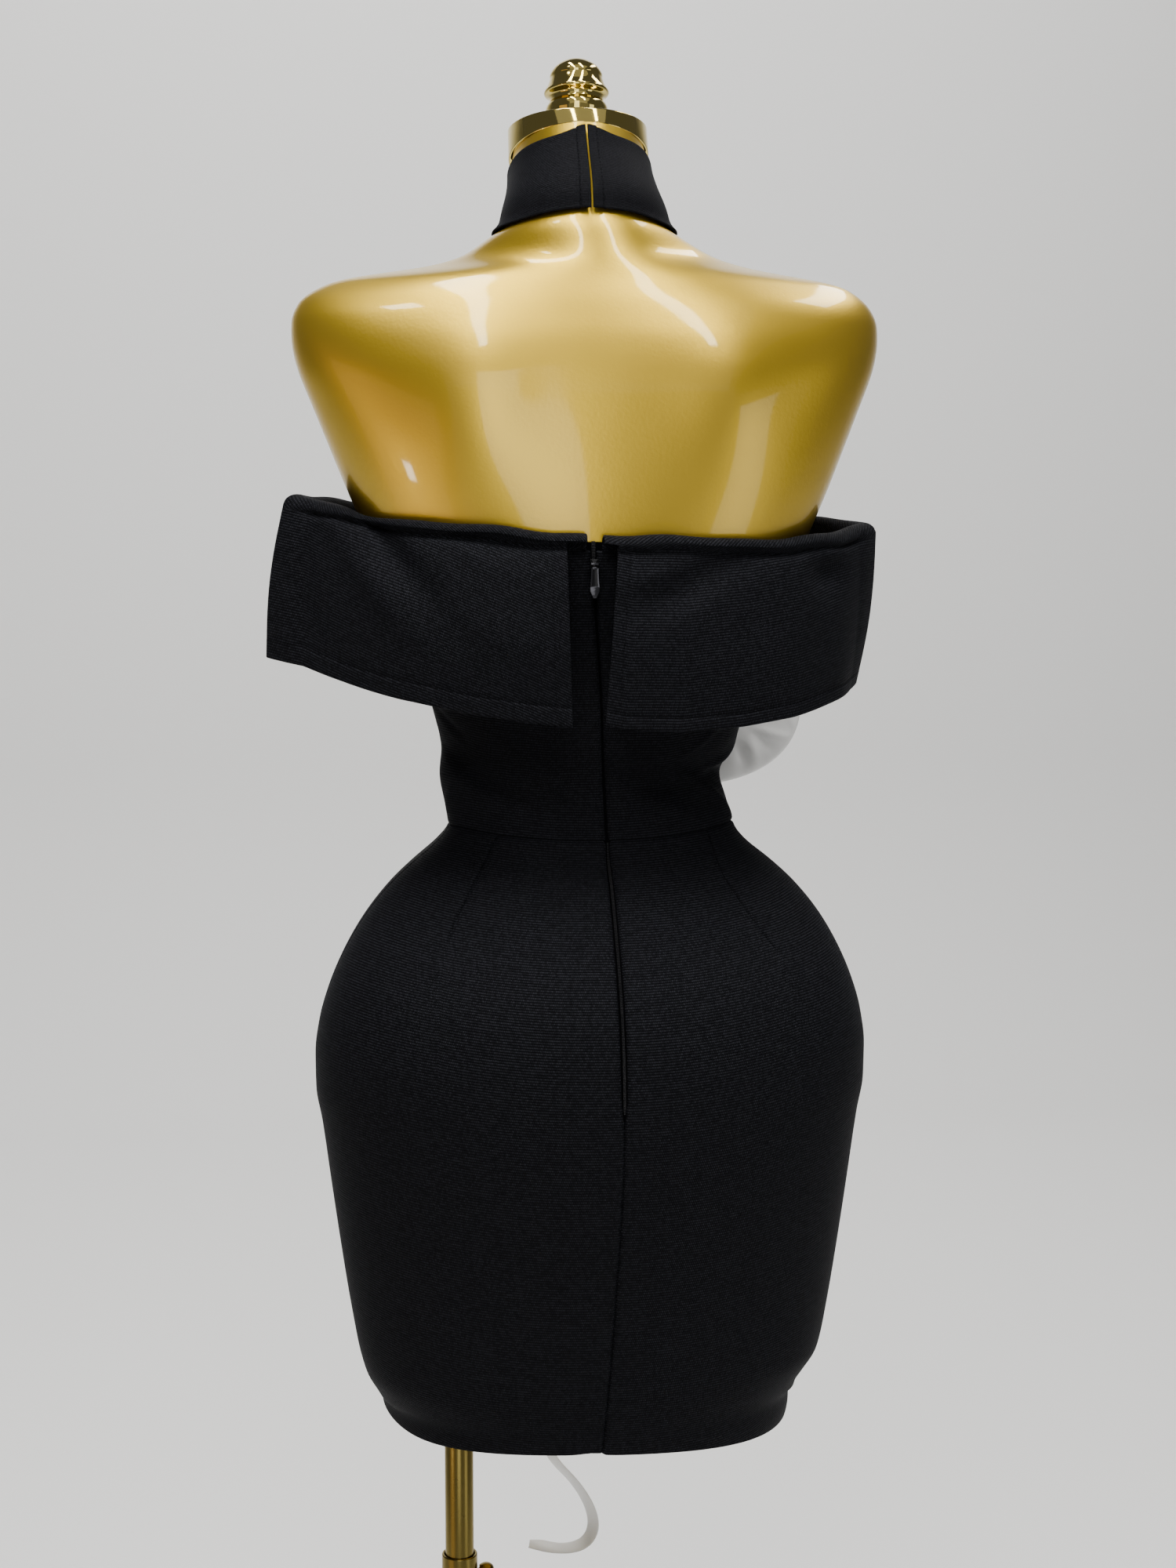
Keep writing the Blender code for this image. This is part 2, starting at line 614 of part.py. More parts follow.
def make_skirt():
    def top(turn):
        return waist_height(turn) - SEAM / 2
    panel("skirt_back_left", back_turn(1), side_turn(1, -SEAM / 2), hem_height, top, 9, 18)
    panel("skirt_back_right", back_turn(-1), side_turn(-1, SEAM / 2), hem_height, top, 9, 18)

    def front_start(z):
        return side_turn(1, SEAM / 2)(z)

    def front_end(z):
        return side_turn(-1, -SEAM / 2)(z) + math.tau
    panel("skirt_front", front_start, front_end, hem_height, top, 18, 18)


def cuff_rows(table):
    return [dict(zip(CUFF_COLUMNS, row)) for row in table]


def cuff_leg_end(table, x):
    """The height where the cuff's inner leg ends, and the bodice or the bib begins."""
    rows = sorted(cuff_rows(table), key=lambda row: row["x"])
    places = [row["x"] for row in rows]
    ends = [row["top"] - ROLL_RADIUS - row["leg"] for row in rows]
    return curve_through(places, ends)(max(places[0], min(places[-1], x)))


def bodice_top(turn):
    """The bodice's top edge: along the cuff's seam, and dipping under each arm."""
    z = 1.23
    x = body_surface(turn, z).x
    if math.cos(turn) > 0:
        table = CUFF_BACK_LEFT if x > 0.007 else CUFF_BACK_RIGHT
    else:
        table = CUFF_FRONT
    seam = cuff_leg_end(table, x) - 2 * SEAM
    past = max(0.0, abs(x) - ARM_START)
    reach = body_value("half", z) - ARM_START
    dip = math.sin(min(1.0, past / reach) * math.pi / 2) ** 1.5
    return blend(seam, UNDERARM_HEIGHT, dip)


def make_bodice():
    def low(turn):
        return waist_height(turn) + SEAM / 2
    panel("bodice_back_left", back_turn(1), side_turn(1, -SEAM / 2), low, bodice_top, 10, 10)
    panel("bodice_back_right", back_turn(-1), side_turn(-1, SEAM / 2), low, bodice_top, 10, 10)

    def front_start(z):
        return side_turn(1, SEAM / 2)(z)

    def front_end(z):
        return side_turn(-1, -SEAM / 2)(z) + math.tau
    panel("bodice_front", front_start, front_end, low, bodice_top, 20, 10)


def zip_top():
    return bodice_top(0.02) - 0.001


def make_zip_tape():
    """The zip's coil, a narrow strip between the two centre-back edges."""
    outer = []
    inner = []
    rows = 30
    for row in range(rows + 1):
        z = blend(ZIP_BOTTOM + ZIP_COIL_RISE, zip_top(), row / rows)
        half = zip_gape(z) / 2 - 1.2 * SEAM
        middle = SEAM_LINE["x"](z)
        turns = [turn_at(middle - half, z), turn_at(middle + half, z)]
        outer.append([cloth_point(turn, z, FORM_GAP + CLOTH - ZIP_TAPE_DEPTH) for turn in turns])
        inner.append([cloth_point(turn, z, FORM_GAP) for turn in turns])
    wall("zip_tape", outer, inner, TAPE_BLACK)


# ---- the cuff ----

def skin_place(x, z, out, front):
    """Where the form's skin, moved out, lies at a sideways distance x."""
    turn = turn_at(x, z)
    if front:
        turn = math.pi - turn
    return body_point(turn, z, out)


def route_points(table, front):
    """The cuff's inner leg seen from above, one point for each row."""
    points = []
    for row in table:
        if row["y"] is None:
            height = row["top"] - ROLL_RADIUS - row["leg"]
            lower = skin_place(row["x"], height, row["out"], front)
            upper = skin_place(row["x"], row["top"] - ROLL_RADIUS, row["out"], front)
            place = lower if abs(lower.y) > abs(upper.y) else upper
            points.append(Vector((row["x"], place.y, 0)))
        else:
            points.append(Vector((row["x"], row["y"], 0)))
    return points


def finer_rows(table):
    """The cuff's rows, with three more between each two that lie on the form, so that it follows it."""
    rows = cuff_rows(table)
    sizes = [name for name in CUFF_COLUMNS if name != "y"]
    finer = [rows[0]]
    for here, there in zip(rows, rows[1:]):
        if here["y"] is None and there["y"] is None:
            for share in (0.25, 0.5, 0.75):
                between = {name: blend(here[name], there[name], share) for name in sizes}
                between["y"] = None
                finer.append(between)
        finer.append(there)
    return finer


def smooth_route(table, front):
    """Stations anywhere along the cuff: each has its place and its own row of sizes."""
    rows = finer_rows(table)
    points = route_points(rows, front)
    lengths = [0.0]
    for here, there in zip(points, points[1:]):
        lengths.append(lengths[-1] + (there - here).length)
    names = ("top", "leg", "flare", "low")
    curves = {name: curve_through(lengths, [row[name] for row in rows]) for name in names}
    xs = curve_through(lengths, [point.x for point in points])
    ys = curve_through(lengths, [point.y for point in points])

    def station(length):
        values = {name: curves[name](length) for name in names}
        values["place"] = Vector((xs(length), ys(length), 0))
        ahead = min(length + 0.001, lengths[-1])
        behind = max(length - 0.001, 0.0)
        way = Vector((xs(ahead) - xs(behind), ys(ahead) - ys(behind), 0)).normalized()
        values["way"] = way
        return values

    return lengths[-1], station


def outward(way, side):
    """Square to the route, away from the body."""
    return Vector((way.y, -way.x, 0)) * side


def cuff_profile(values, direction, stretch, hung):
    """The cuff's section: up the inner leg, over the roll and down the hanging flap.

    hung holds the values, direction and stretch for each step down the flap. Returns middle points with
    the direction of the wall's face at each.
    """
    place = values["place"]
    roll_base = values["top"] - ROLL_RADIUS
    points = []
    up = Vector((0, 0, 1))
    for step in range(2):
        z = roll_base - values["leg"] * (1 - step)
        points.append((place + up * z, -direction))
    arc_steps = 6
    for step in range(1, arc_steps):
        angle = math.pi * step / arc_steps
        across = ROLL_RADIUS * (1 - math.cos(angle))
        rise = ROLL_RADIUS * math.sin(angle)
        face = -direction * math.cos(angle) + up * math.sin(angle)
        points.append((place + direction * (across * stretch) + up * (roll_base + rise), face))
    start = 2 * ROLL_RADIUS
    for step, (there, face, flap_stretch) in enumerate(hung):
        t = step / FLAP_STEPS
        across = blend(start, there["flare"], t) + FLAP_BELLY * math.sin(math.pi * t)
        z = blend(there["top"] - ROLL_RADIUS, there["low"], t)
        points.append((there["place"] + face * (across * flap_stretch) + up * z, face))
    return points


def cuff_piece(name, table, front, side, columns, start_mitre, end_mitre, retreat):
    """One length of cuff. A mitre is a (direction, stretch) pair at an arm end, or None."""
    total, station = smooth_route(table, front)
    outer = []
    inner = []
    half = CUFF_CLOTH / 2

    def frame_at(values, length):
        direction = outward(values["way"], side)
        stretch = 1.0
        ends = []
        if start_mitre:
            ends.append((start_mitre, length))
        if end_mitre:
            ends.append((end_mitre, total - length))
        for mitre, distance in ends:
            share = max(0.0, 1 - distance / MITRE_REACH)
            direction = direction.lerp(mitre[0], share).normalized()
            stretch = blend(stretch, mitre[1], share)
        return direction, stretch

    first = SEAM * 0.8 if start_mitre else 0.0
    last = total - SEAM * 0.8 if end_mitre else total
    spots = [blend(first, last, column / columns) for column in range(columns + 1)]
    if start_mitre:
        spots += [MITRE_REACH / 4, MITRE_REACH]
    if end_mitre:
        spots += [total - MITRE_REACH, total - MITRE_REACH / 4]
    spots.sort()
    spots = [spot for i, spot in enumerate(spots) if i == 0 or spot - spots[i - 1] > 0.002]
    for spot in spots:
        values = station(spot)
        direction, stretch = frame_at(values, spot)
        hung = []
        for step in range(FLAP_STEPS + 1):
            behind = spot + blend(retreat[0], retreat[1], step / FLAP_STEPS) * (1 - spot / total)
            there = station(behind)
            hung.append((there, *frame_at(there, behind)))
        points = cuff_profile(values, direction, stretch, hung)
        outer.append([point + face * half for point, face in points])
        inner.append([point - face * half for point, face in points])
    return wall(name, outer, inner, KNIT_BLACK)


def corner_mitre(back_table, back_side, front_table, front_at_start, front_side):
    """The shared direction and stretch at an arm end, where back and front lengths meet."""
    total, station = smooth_route(back_table, False)
    back_out = outward(station(total)["way"], back_side)
    front_total, front_station = smooth_route(front_table, True)
    front_way = front_station(0.0 if front_at_start else front_total)["way"]
    front_out = outward(front_way, front_side)
    middle = (back_out + front_out).normalized()
    return middle, 1 / max(0.4, middle.dot(back_out))


def make_cuff():
    left = corner_mitre(CUFF_BACK_LEFT, -1, CUFF_FRONT, True, -1)
    right = corner_mitre(CUFF_BACK_RIGHT, 1, CUFF_FRONT, False, -1)
    cuff_piece("cuff_back_left", CUFF_BACK_LEFT, False, -1, 10, None, left, LEFT_RETREAT)
    cuff_piece("cuff_back_right", CUFF_BACK_RIGHT, False, 1, 10, None, right, RIGHT_RETREAT)
    cuff_piece("cuff_front", CUFF_FRONT, True, -1, 24, left, right, (0.0, 0.0))


# ---- the neck band and the bib ----

def band_low(turn):
    cosine = math.cos(turn)
    if cosine > 0:
        return blend(BAND_SIDE, BAND_BACK, cosine * cosine)
    return blend(BAND_SIDE, BIB_SEAM, min(1.0, -cosine * 2))


def make_neck_band():
    """The choker band: one length all round, split at the centre back, its ends hemmed double."""
    columns = 30
    rows = 4
    ends = (turn_at(BAND_SPLIT_X + BAND_GAPE / 2, BAND_MIDDLE),
            math.tau + turn_at(BAND_SPLIT_X - BAND_GAPE / 2, BAND_MIDDLE))
    outer = []
    inner = []
    for row in range(rows + 1):
        outer_row = []
        inner_row = []
        for column in range(columns + 1):
            turn = blend(ends[0], ends[1], column / columns)
            top = BAND_TOP + BAND_PEAK * math.exp(-(math.sin(turn / 2) / 0.13) ** 2)
            z = blend(band_low(turn), top, row / rows)
            flare = BAND_FLARE * math.exp(-((z - band_low(turn)) / 0.006) ** 2)
            outer_row.append(body_point(turn, z, FORM_GAP + CLOTH + flare))
            inner_row.append(body_point(turn, z, FORM_GAP + flare))
        outer.append(outer_row)
        inner.append(inner_row)
    wall("neck_band", outer, inner, KNIT_BLACK)


def make_halter_front():
    """The bib: from the front of the band, over the chest, to the bust seam inside the cuff."""
    columns = 14
    rows = 12
    outer = []
    inner = []
    for row in range(rows + 1):
        outer_row = []
        inner_row = []
        down = row / rows
        for column in range(columns + 1):
            x = blend(BIB_TOP_X, BIB_LOW_X, down) * (2 * column / columns - 1)
            top_z = band_low(math.pi - turn_at(x, BIB_SEAM)) - BIB_ROOM
            low_z = cuff_leg_end(CUFF_FRONT, x) + SEAM
            z = blend(top_z, low_z, down)
            turn = math.pi - turn_at(x, z)
            outer_row.append(body_point(turn, z, FORM_GAP + CLOTH))
            inner_row.append(body_point(turn, z, FORM_GAP))
        outer.append(outer_row)
        inner.append(inner_row)
    wall("halter_front", outer, inner, KNIT_BLACK)


# ---- the zip's hard pieces ----

def slider_point():
    """The middle of the slider, on the face of the cloth at the centre back."""
    x = SEAM_LINE["x"](SLIDER_Z)
    face = body_point(turn_at(x, SLIDER_Z), SLIDER_Z, FORM_GAP + CLOTH)
    return Vector((x, face.y, SLIDER_Z))


def box_rings(steps):
    """Rectangles stacked along Z: each step is (z, half_x, low_y, high_y)."""
    return [[Vector((-half, low, z)), Vector((half, low, z)),
             Vector((half, high, z)), Vector((-half, high, z))] for z, half, low, high in steps]


def make_zip_slider():
    """A tapered body with a low bridge that the pull hangs from."""
    place = slider_point()
    steps = ((-0.0050, 0.0018, 0.0008, 0.0018), (-0.0040, 0.0024, 0.0008, 0.0026),
             (0.0010, 0.0029, 0.0008, 0.0030), (0.0040, 0.0029, 0.0008, 0.0026),
             (0.0050, 0.0022, 0.0008, 0.0018))
    rings = [[place + point for point in ring] for ring in box_rings(steps)]
    loft("zip_slider", rings, ZIP_GREY)


def pull_pivot():
    place = slider_point()
    return place + Vector((0.0, 0.0042, -0.0010))


def make_zip_pull():
    """The pull tab: a waisted blade with a fuller tip, its origin on the pin it swings on."""
    pivot = pull_pivot()
    half = PULL_WIDTH / 2
    thick = PULL_THICK / 2
    steps = ((0.0010, half * 0.55, -thick, thick), (-0.0010, half * 0.75, -thick, thick),
             (-0.0030, half * 0.70, -thick, thick), (-0.0075, half * 0.62, -thick, thick),
             (-0.0130, half * 0.92, -thick, thick), (-PULL_LENGTH + 0.0012, half, -thick, thick),
             (-PULL_LENGTH, half * 0.5, -thick * 0.7, thick * 0.7))
    rings = [[pivot + point for point in ring] for ring in box_rings(steps)]
    loft("zip_pull", rings, ZIP_GREY, pivot)


# ---- the satin bow ----

def bow_loop(name, root, direction, length, root_half, tip_half, belly, droop):
    """A loop of wide ribbon: out along its front layer, round the end and back behind."""
    along = Vector(direction).normalized()
    forward = Vector((0, -1, 0))
    forward = (forward - along * forward.dot(along)).normalized()
    across = along.cross(forward).normalized()
    steps = 16
    strips = 6
    middle = []
    for step in range(steps + 1):
        angle = blend(math.radians(8), math.radians(352), step / steps)
        reach = (1 - math.cos(angle)) / 2
        row = []
        for strip in range(strips + 1):
            v = 2 * strip / strips - 1
            half = blend(root_half, tip_half, reach ** 0.75)
            out = length * reach * (1 - 0.16 * v * v * reach)
            pleat = 0.0022 * math.cos(v * math.pi * 2.5) * (1 - reach)
            depth = belly * math.sin(angle) * (0.45 + 0.55 * reach) * (1 - 0.35 * v * v)
            depth += 0.0016 * (1 if angle < math.pi else -1) * (1 - reach) + pleat
            sag = -droop * reach * reach
            row.append(Vector(root) + along * out + across * (half * v) + forward * depth
                       + Vector((0, 0, sag)))
        middle.append(row)
    outer = []
    inner = []
    half_cloth = SATIN_CLOTH / 2
    for step in range(steps + 1):
        outer_row = []
        inner_row = []
        for strip in range(strips + 1):
            before = middle[max(0, step - 1)][strip]
            after = middle[min(steps, step + 1)][strip]
            lower = middle[step][max(0, strip - 1)]
            upper = middle[step][min(strips, strip + 1)]
            face = (after - before).cross(upper - lower).normalized()
            outer_row.append(middle[step][strip] + face * half_cloth)
            inner_row.append(middle[step][strip] - face * half_cloth)
        outer.append(outer_row)
        inner.append(inner_row)
    wall(name, outer, inner, SATIN_WHITE)


def make_bow_knot():
    rings = []
    sides = 16
    for step in range(9):
        angle = blend(math.radians(-84), math.radians(84), step / 8)
        wide = math.cos(angle) ** 0.6
        ring = []
        for side in range(sides):
            turn = math.tau * side / sides
            x = math.copysign(abs(math.cos(turn)) ** 0.75, math.cos(turn)) * KNOT_HALF.x * wide
            y = math.copysign(abs(math.sin(turn)) ** 0.75, math.sin(turn)) * KNOT_HALF.y * wide
            ring.append(KNOT_CENTRE + Vector((x, y, KNOT_HALF.z * math.sin(angle))))
        rings.append(ring)
    loft("bow_knot", rings, SATIN_WHITE)


def ribbon_middle(steps):
    """Evenly read stations of the ribbon: place, way along it and the flat of it."""
    rows = [dict(zip(RIBBON_COLUMNS, row)) for row in RIBBON_ROWS]
    places = [Vector((row["x"], row["y"], row["z"])) for row in rows]
    lengths = [0.0]
    for here, there in zip(places, places[1:]):
        lengths.append(lengths[-1] + (there - here).length)
    xs = curve_through(lengths, [place.x for place in places])
    ys = curve_through(lengths, [place.y for place in places])
    zs = curve_through(lengths, [place.z for place in places])
    twists = curve_through(lengths, [row["twist"] for row in rows])
    stations = []
    for step in range(steps + 1):
        length = blend(0.0, lengths[-1], (step / steps) ** 0.75)
        place = Vector((xs(length), ys(length), zs(length)))
        ahead = length + SMALL
        behind = length - SMALL
        way = Vector((xs(ahead) - xs(behind), ys(ahead) - ys(behind), zs(ahead) - zs(behind))).normalized()
        flat = Vector((0, -1, 0)).cross(way).normalized()
        flat = Matrix.Rotation(math.radians(twists(length)), 3, way) @ flat
        stations.append((place, way, flat))
    return stations


def make_bow_ribbon():
    outer = []
    inner = []
    for place, way, flat in ribbon_middle(44):
        face = way.cross(flat).normalized() * (RIBBON_CLOTH / 2)
        edge = flat * (RIBBON_WIDTH / 2)
        outer.append([place - edge + face, place + edge + face])
        inner.append([place - edge - face, place + edge - face])
    wall("bow_ribbon", outer, inner, SATIN_WHITE)


def make_bow():
    right_root = KNOT_CENTRE + Vector((-KNOT_HALF.x - 0.0050, -0.0005, -0.006))
    left_root = KNOT_CENTRE + Vector((KNOT_HALF.x + 0.0022, -0.0005, 0.003))
    bow_loop("bow_loop_right", right_root, (-0.78, 0.06, -0.50), 0.180, 0.014, 0.054, 0.012, 0.0)
    bow_loop("bow_loop_left", left_root, (0.95, 0.05, 0.20), 0.140, 0.014, 0.036, 0.011, 0.012)
    make_bow_knot()
    make_bow_ribbon()


# ---- the stand ----

def upright(x, z):
    return Matrix.Translation(Vector((x, 0.0, z)))


def make_upper_rod():
    top = FORM_BOTTOM - SEAM
    profile = ((ROD_RADIUS - 0.001, ROD_BOTTOM), (ROD_RADIUS, ROD_BOTTOM + 0.001), (ROD_RADIUS, top))
    turned("upper_rod", profile, 24, STAND_GOLD, upright(ROD_X, 0.0))


def make_lower_tube():
    """The outer tube, open at both ends, that the rod slides in."""
    profile = ((TUBE_RADIUS, TUBE_BOTTOM), (TUBE_RADIUS, TUBE_TOP),
               (TUBE_BORE, TUBE_TOP), (TUBE_BORE, TUBE_BOTTOM))
    turned("lower_tube", profile, 32, STAND_GOLD, upright(ROD_X, 0.0), True)


def make_clamp_knob():
    """A round clamp knob on a short neck; it turns about the neck, square to the tube."""
    outlet = ROD_X - TUBE_RADIUS - 0.0006
    frame = Matrix.Translation(Vector((outlet, 0.0, KNOB_HEIGHT))) @ Matrix.Rotation(-math.pi / 2, 4, 'Y')
    profile = ((0.0026, 0.0), (0.0026, 0.0006), (0.0046, 0.0010), (KNOB_RADIUS - 0.0004, 0.0030),
               (KNOB_RADIUS, 0.0054), (KNOB_RADIUS - 0.0006, 0.0080), (0.0040, 0.0104), (0.0016, 0.0112))
    turned("clamp_knob", profile, 20, STAND_GOLD, frame)


def make_base_plate():
    """A round plate under the form's middle, with a low flange that the tube stands on."""
    edge = 0.0015
    profile = ((BASE_RADIUS - edge, 0.0), (BASE_RADIUS, edge), (BASE_RADIUS, BASE_EDGE - edge),
               (BASE_RADIUS - edge, BASE_EDGE))
    turned("base_plate", profile, 40, STAND_GOLD, Matrix())
    flange = ((0.034, BASE_EDGE + SEAM), (0.034, 0.011), (0.031, 0.0135), (0.018, FLANGE_HEIGHT))
    turned("base_flange", flange, 32, STAND_GOLD, upright(ROD_X, 0.0))


def build():
    clear_scene()
    make_form_torso()
    make_neck_cap()
    make_finial()
    make_neck_band()
    make_halter_front()
    make_bodice()
    make_skirt()
    make_cuff()
    make_zip_tape()
    make_zip_slider()
    make_zip_pull()
    make_bow()
    make_upper_rod()
    make_lower_tube()
    make_clamp_knob()
    make_base_plate()


build()
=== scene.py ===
import math

import bmesh
import bpy
import numpy as np
from mathutils import Matrix, Quaternion, Vector


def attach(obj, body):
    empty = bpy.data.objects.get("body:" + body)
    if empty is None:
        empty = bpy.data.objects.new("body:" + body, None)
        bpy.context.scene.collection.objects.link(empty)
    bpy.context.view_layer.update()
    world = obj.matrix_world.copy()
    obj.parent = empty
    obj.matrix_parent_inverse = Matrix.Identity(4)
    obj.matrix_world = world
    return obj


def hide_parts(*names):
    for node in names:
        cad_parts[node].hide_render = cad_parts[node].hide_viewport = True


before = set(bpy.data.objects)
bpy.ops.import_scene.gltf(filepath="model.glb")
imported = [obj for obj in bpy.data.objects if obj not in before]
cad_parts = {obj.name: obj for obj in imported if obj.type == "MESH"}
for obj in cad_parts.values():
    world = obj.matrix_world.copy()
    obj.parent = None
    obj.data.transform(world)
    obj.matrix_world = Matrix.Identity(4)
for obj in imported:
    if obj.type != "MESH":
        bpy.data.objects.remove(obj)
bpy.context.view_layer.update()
print("frame loaded", len(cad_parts), "nodes")

# z, half width, back, front, side y, fullness, forward tilt in degrees, shift to the wearer's left
bodyNames = ("z", "half", "back", "front", "sideY", "full", "tilt", "mid")
bodyRows = (
    (0.6200, 0.1365, 0.0960, 0.1010, -0.0080, 1.20, 0.0, 0.0000),
    (0.6357, 0.1398, 0.0990, 0.1035, -0.0060, 1.20, 0.0, 0.0000),
    (0.6471, 0.1387, 0.1010, 0.1050, 0.0000, 1.18, 0.0, 0.0000),
    (0.6586, 0.1440, 0.1040, 0.1070, 0.0120, 1.14, 0.0, 0.0014),
    (0.6700, 0.1491, 0.1065, 0.1090, 0.0240, 1.10, 0.0, 0.0014),
    (0.6814, 0.1539, 0.1085, 0.1100, 0.0290, 1.07, 0.0, 0.0000),
    (0.7155, 0.1606, 0.1135, 0.1130, 0.0300, 1.04, 0.0, 0.0000),
    (0.7607, 0.1675, 0.1195, 0.1160, 0.0300, 1.03, 0.0, 0.0000),
    (0.8057, 0.1736, 0.1255, 0.1180, 0.0300, 1.04, 0.0, 0.0000),
    (0.8503, 0.1794, 0.1295, 0.1195, 0.0310, 1.04, 0.0, 0.0000),
    (0.8726, 0.1831, 0.1300, 0.1195, 0.0320, 1.04, 0.0, 0.0000),
    (0.8947, 0.1833, 0.1290, 0.1190, 0.0330, 1.04, 0.0, 0.0000),
    (0.9168, 0.1804, 0.1255, 0.1170, 0.0340, 1.03, 0.0, 0.0000),
    (0.9389, 0.1740, 0.1185, 0.1150, 0.0350, 1.03, 0.0, 0.0000),
    (0.9608, 0.1646, 0.1080, 0.1120, 0.0350, 1.02, 0.0, 0.0000),
    (0.9827, 0.1519, 0.0950, 0.1080, 0.0340, 1.01, 0.0, 0.0000),
    (1.0046, 0.1342, 0.0805, 0.1030, 0.0310, 1.00, 0.0, 0.0000),
    (1.0190, 0.1185, 0.0700, 0.0995, 0.0290, 1.00, 0.0, 0.0000),
    (1.0330, 0.1014, 0.0610, 0.0965, 0.0260, 1.00, 0.0, 0.0000),
    (1.0440, 0.0934, 0.0560, 0.0945, 0.0240, 1.00, 0.0, -0.0006),
    (1.0589, 0.0921, 0.0545, 0.0925, 0.0220, 1.00, 0.0, 0.0022),
    (1.0805, 0.0913, 0.0565, 0.0915, 0.0200, 1.00, 0.0, 0.0066),
    (1.1020, 0.0965, 0.0630, 0.0920, 0.0190, 1.00, 0.0, 0.0004),
    (1.1235, 0.1020, 0.0710, 0.0940, 0.0180, 1.00, 0.0, 0.0000),
    (1.1600, 0.1125, 0.0820, 0.0980, 0.0180, 1.00, 0.0, 0.0000),
    (1.2000, 0.1290, 0.0900, 0.1010, 0.0180, 1.00, 0.0, 0.0000),
    (1.2350, 0.1460, 0.0950, 0.1020, 0.0180, 1.00, 0.0, 0.0000),
    (1.2668, 0.1604, 0.0970, 0.0980, 0.0160, 1.02, 0.0, 0.0000),
    (1.2982, 0.1730, 0.0960, 0.0900, 0.0140, 1.04, 0.0, 0.0000),
    (1.3296, 0.1855, 0.0915, 0.0820, 0.0120, 1.04, 0.0, 0.0000),
    (1.3607, 0.1963, 0.0835, 0.0740, 0.0100, 1.00, 0.0, 0.0000),
    (1.3765, 0.1965, 0.0765, 0.0700, 0.0100, 0.90, 0.0, 0.0000),
    (1.3918, 0.1908, 0.0690, 0.0650, 0.0080, 0.74, 0.0, 0.0000),
    (1.3995, 0.1817, 0.0645, 0.0635, 0.0060, 0.60, 0.0, -0.0012),
    (1.4072, 0.1653, 0.0600, 0.0620, 0.0040, 0.46, 0.0, -0.0032),
    (1.4150, 0.1160, 0.0560, 0.0610, 0.0010, 0.42, 0.0, -0.0050),
    (1.4227, 0.0876, 0.0525, 0.0610, -0.0030, 0.55, 0.0, -0.0034),
    (1.4304, 0.0740, 0.0485, 0.0620, -0.0070, 0.75, 2.0, -0.0014),
    (1.4381, 0.0625, 0.0445, 0.0635, -0.0100, 0.92, 5.0, 0.0000),
    (1.4434, 0.0550, 0.0405, 0.0645, -0.0120, 1.00, 7.0, 0.0000),
    (1.4534, 0.0523, 0.0350, 0.0660, -0.0160, 1.00, 11.0, 0.0000),
    (1.4688, 0.0478, 0.0200, 0.0760, -0.0280, 1.00, 17.0, 0.0000),
    (1.4790, 0.0460, 0.0105, 0.0825, -0.0360, 1.00, 20.0, 0.0000),
    (1.4935, 0.0452, 0.0020, 0.0900, -0.0440, 1.00, 21.5, 0.0000),
    (1.5050, 0.0450, -0.0020, 0.0940, -0.0480, 1.00, 21.5, 0.0000),
)
# soft mounds: x, z, wide, tall, rise, side (1 back, -1 front)
reliefRows = (
    (0.068, 1.212, 0.046, 0.048, 0.0190, -1),
    (0.088, 1.325, 0.036, 0.050, 0.0060, 1),
)
